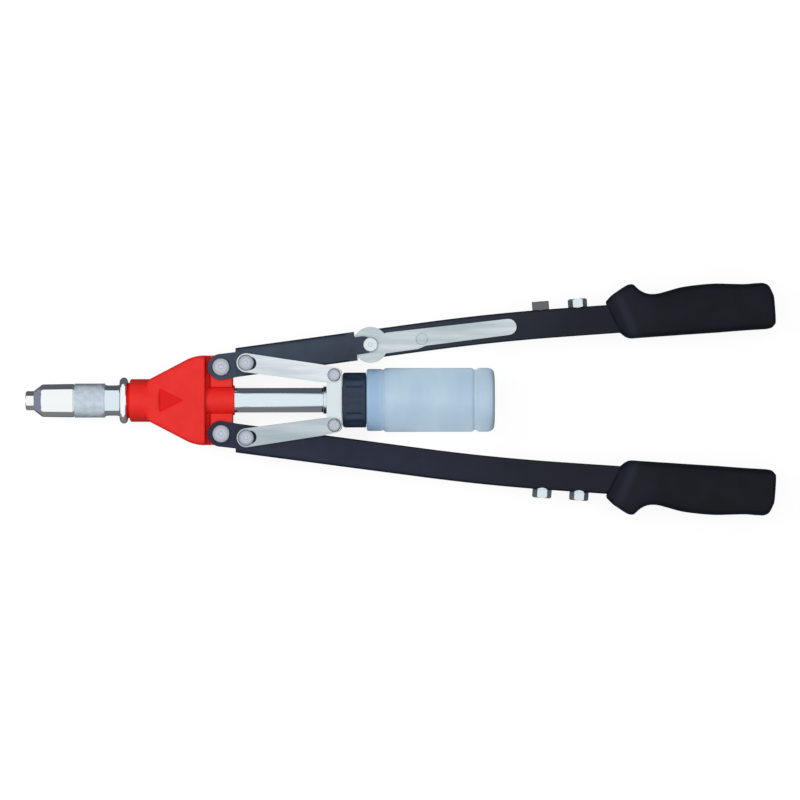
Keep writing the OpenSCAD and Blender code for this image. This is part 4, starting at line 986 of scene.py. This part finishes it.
def seen_as_background(tree):
    """1 for the rays that show the background: straight from the camera, mirrored or let through."""
    path = add(tree, "LightPath")
    both = add(tree, "Math", {"operation": "MAXIMUM"},
               {0: path.outputs["Is Camera Ray"], 1: path.outputs["Is Glossy Ray"]})
    return add(tree, "Math", {"operation": "MAXIMUM"},
               {0: both.outputs[0], 1: path.outputs["Is Transmission Ray"]}).outputs[0]


def bare_material(name):
    """A new material that has no node yet, and its node tree."""
    material = bpy.data.materials.new(name)
    material.use_nodes = True
    material.node_tree.nodes.clear()
    return material, material.node_tree


def stage_mesh(name, corners, faces, material):
    """A stage object from a few corners in millimetres."""
    mesh = bpy.data.meshes.new(name)
    mesh.from_pydata([tuple(np.array(corner) * MM) for corner in corners], [], faces)
    mesh.materials.append(material)
    stage = in_scene(name, mesh)
    return stage


def floor_paper():
    """White seamless paper. The lit part keeps the shadow, and the rest is white by itself."""
    lit_share, glow_strength, plain_share = 0.14, 0.89, 0.15
    material, tree = bare_material("floor_paper")
    lit = add(tree, "BsdfDiffuse", {}, {"Color": (lit_share, lit_share, lit_share, 1)})
    glow = add(tree, "Emission", {}, {"Color": WHITE, "Strength": glow_strength})
    shown = add(tree, "AddShader", {}, {0: lit.outputs[0], 1: glow.outputs[0]})
    plain = add(tree, "BsdfDiffuse", {}, {"Color": (plain_share, plain_share, plain_share, 1)})
    mix = add(tree, "MixShader", {}, {"Fac": seen_as_background(tree), 1: plain.outputs[0],
                                      2: shown.outputs[0]})
    add(tree, "OutputMaterial", {}, {"Surface": mix.outputs[0]})
    return material


floor_z = CAD_BOX[0][2] / MM
floor_half = 6000
stage_mesh("floor", [(x * floor_half, y * floor_half, floor_z) for x, y in SQUARE], [(0, 1, 2, 3)],
           floor_paper())

world = bpy.data.worlds.new("studio")
bpy.context.scene.world = world
world.use_nodes = True
sky = world.node_tree
sky.nodes.clear()
# The dome lights a face that looks sideways a quarter as much as one that looks up: its strength is
# a base plus a share that grows with the fourth power of the height of the ray
dome_base, dome_top, dome_power = 0.05, 2.1, 4.0
ray = add(sky, "TexCoord")
height = add(sky, "SeparateXYZ", {}, {0: ray.outputs["Generated"]})
above = add(sky, "Math", {"operation": "MAXIMUM"}, {0: height.outputs["Z"], 1: 0.0})
steep = add(sky, "Math", {"operation": "POWER"}, {0: above.outputs[0], 1: dome_power})
strength = add(sky, "Math", {"operation": "MULTIPLY_ADD"},
               {0: steep.outputs[0], 1: dome_top, 2: dome_base})
dome = add(sky, "Background", {}, {"Color": WHITE, "Strength": strength.outputs[0]})
white = add(sky, "Background", {}, {"Color": WHITE, "Strength": 1.0})
blend = add(sky, "MixShader", {}, {"Fac": seen_as_background(sky), 1: dome.outputs[0],
                                   2: white.outputs[0]})
add(sky, "OutputWorld", {}, {"Surface": blend.outputs[0]})


def soft_lamp(name, place, size, watts):
    """A square soft box in millimetres, facing straight down."""
    data = bpy.data.lights.new(name, "AREA")
    data.size = size * MM
    data.energy = watts
    lamp = in_scene(name, data)
    lamp.location = [value * MM for value in place]
    lamp.visible_camera = False
    lamp.visible_glossy = False


soft_lamp("soft_box", place=(-330, 160, 860), size=300, watts=3.4)


def grey_card(name, colour):
    """Card stock that looks the same from every side."""
    material, tree = bare_material(name)
    glow = add(tree, "Emission", {}, {"Color": colour, "Strength": 1.0})
    add(tree, "OutputMaterial", {}, {"Surface": glow.outputs[0]})
    return material


DARK_CARD = grey_card("dark_card", linear("#5C5F66"))
GREY_CARD = grey_card("grey_card", linear("#827F7D"))
MIDDLE_CARD = grey_card("middle_card", linear("#84879A"))
BOUNCE_CARD = grey_card("bounce_card", (0.9, 0.9, 0.9, 1))


def flag(name, first, second, low, top, card=DARK_CARD):
    """An upright card between two points of the plan, from the height low to top."""
    corners = [(*first, low), (*second, low), (*second, top), (*first, top)]
    return stage_mesh(name, corners, [(0, 1, 2, 3)], card)


def flat_card(name, half, height):
    """A level card round the middle of the picture."""
    corners = [(PICTURE_CENTRE[0] + x * half, y * half, height) for x, y in SQUARE]
    return stage_mesh(name, corners, [(0, 1, 2, 3)], DARK_CARD)


barrel_flag_y, barrel_flag_top = 34, 11
tube_flag_y, tube_flag_top = 13.5, 10.5
cap_flag_y, cap_flag_top = 25, 16
nose_flag_x, nose_flag_half, nose_flag_top = -16, 34, 30
cards = [flat_card("card_below", 1500, floor_z + 0.5),
         flag("flag_nose", (nose_flag_x, -nose_flag_half), (nose_flag_x, nose_flag_half), floor_z,
              nose_flag_top, MIDDLE_CARD)]
for side, word, tone in ((1, "left", DARK_CARD), (-1, "right", GREY_CARD)):
    cards.append(flag("flag_barrel_" + word, (-15, side * barrel_flag_y), (88, side * barrel_flag_y),
                      floor_z, barrel_flag_top, tone))
    cards.append(flag("flag_tube_" + word, (152, side * tube_flag_y), (213, side * tube_flag_y),
                      floor_z, tube_flag_top, tone))
    cards.append(flag("flag_cap_" + word, (227, side * cap_flag_y), (246, side * cap_flag_y),
                      floor_z, cap_flag_top))

# White cards that bounce light into the sides of the bottle
bounce_y, bounce_top = 34, 20
for side, word in ((1, "left"), (-1, "right")):
    card = flag("bounce_" + word, (250, side * bounce_y), (338, side * bounce_y), floor_z,
                bounce_top, BOUNCE_CARD)
    card.visible_camera = card.visible_glossy = False
    card.visible_shadow = card.visible_transmission = False
for card in cards:
    card.visible_camera = card.visible_diffuse = False
    card.visible_shadow = card.visible_transmission = False


# Camera: straight above, a long lens, and a picture that is 576 mm wide and turned by a hair, as
# in the photograph
picture_width, picture_turn = 576, 0.12
lens, sensor, far_metres = 200, 36, 50
camera_data = bpy.data.cameras.new("camera")
camera_data.lens = lens
camera_data.sensor_width = sensor
camera_data.clip_end = far_metres
camera = in_scene("camera", camera_data)
camera.location = (PICTURE_CENTRE[0] * MM, PICTURE_CENTRE[1] * MM, picture_width * lens / sensor * MM)
camera.rotation_euler = (0, 0, -math.radians(picture_turn))
bpy.context.scene.camera = camera
bpy.context.scene.view_settings.view_transform = "Standard"
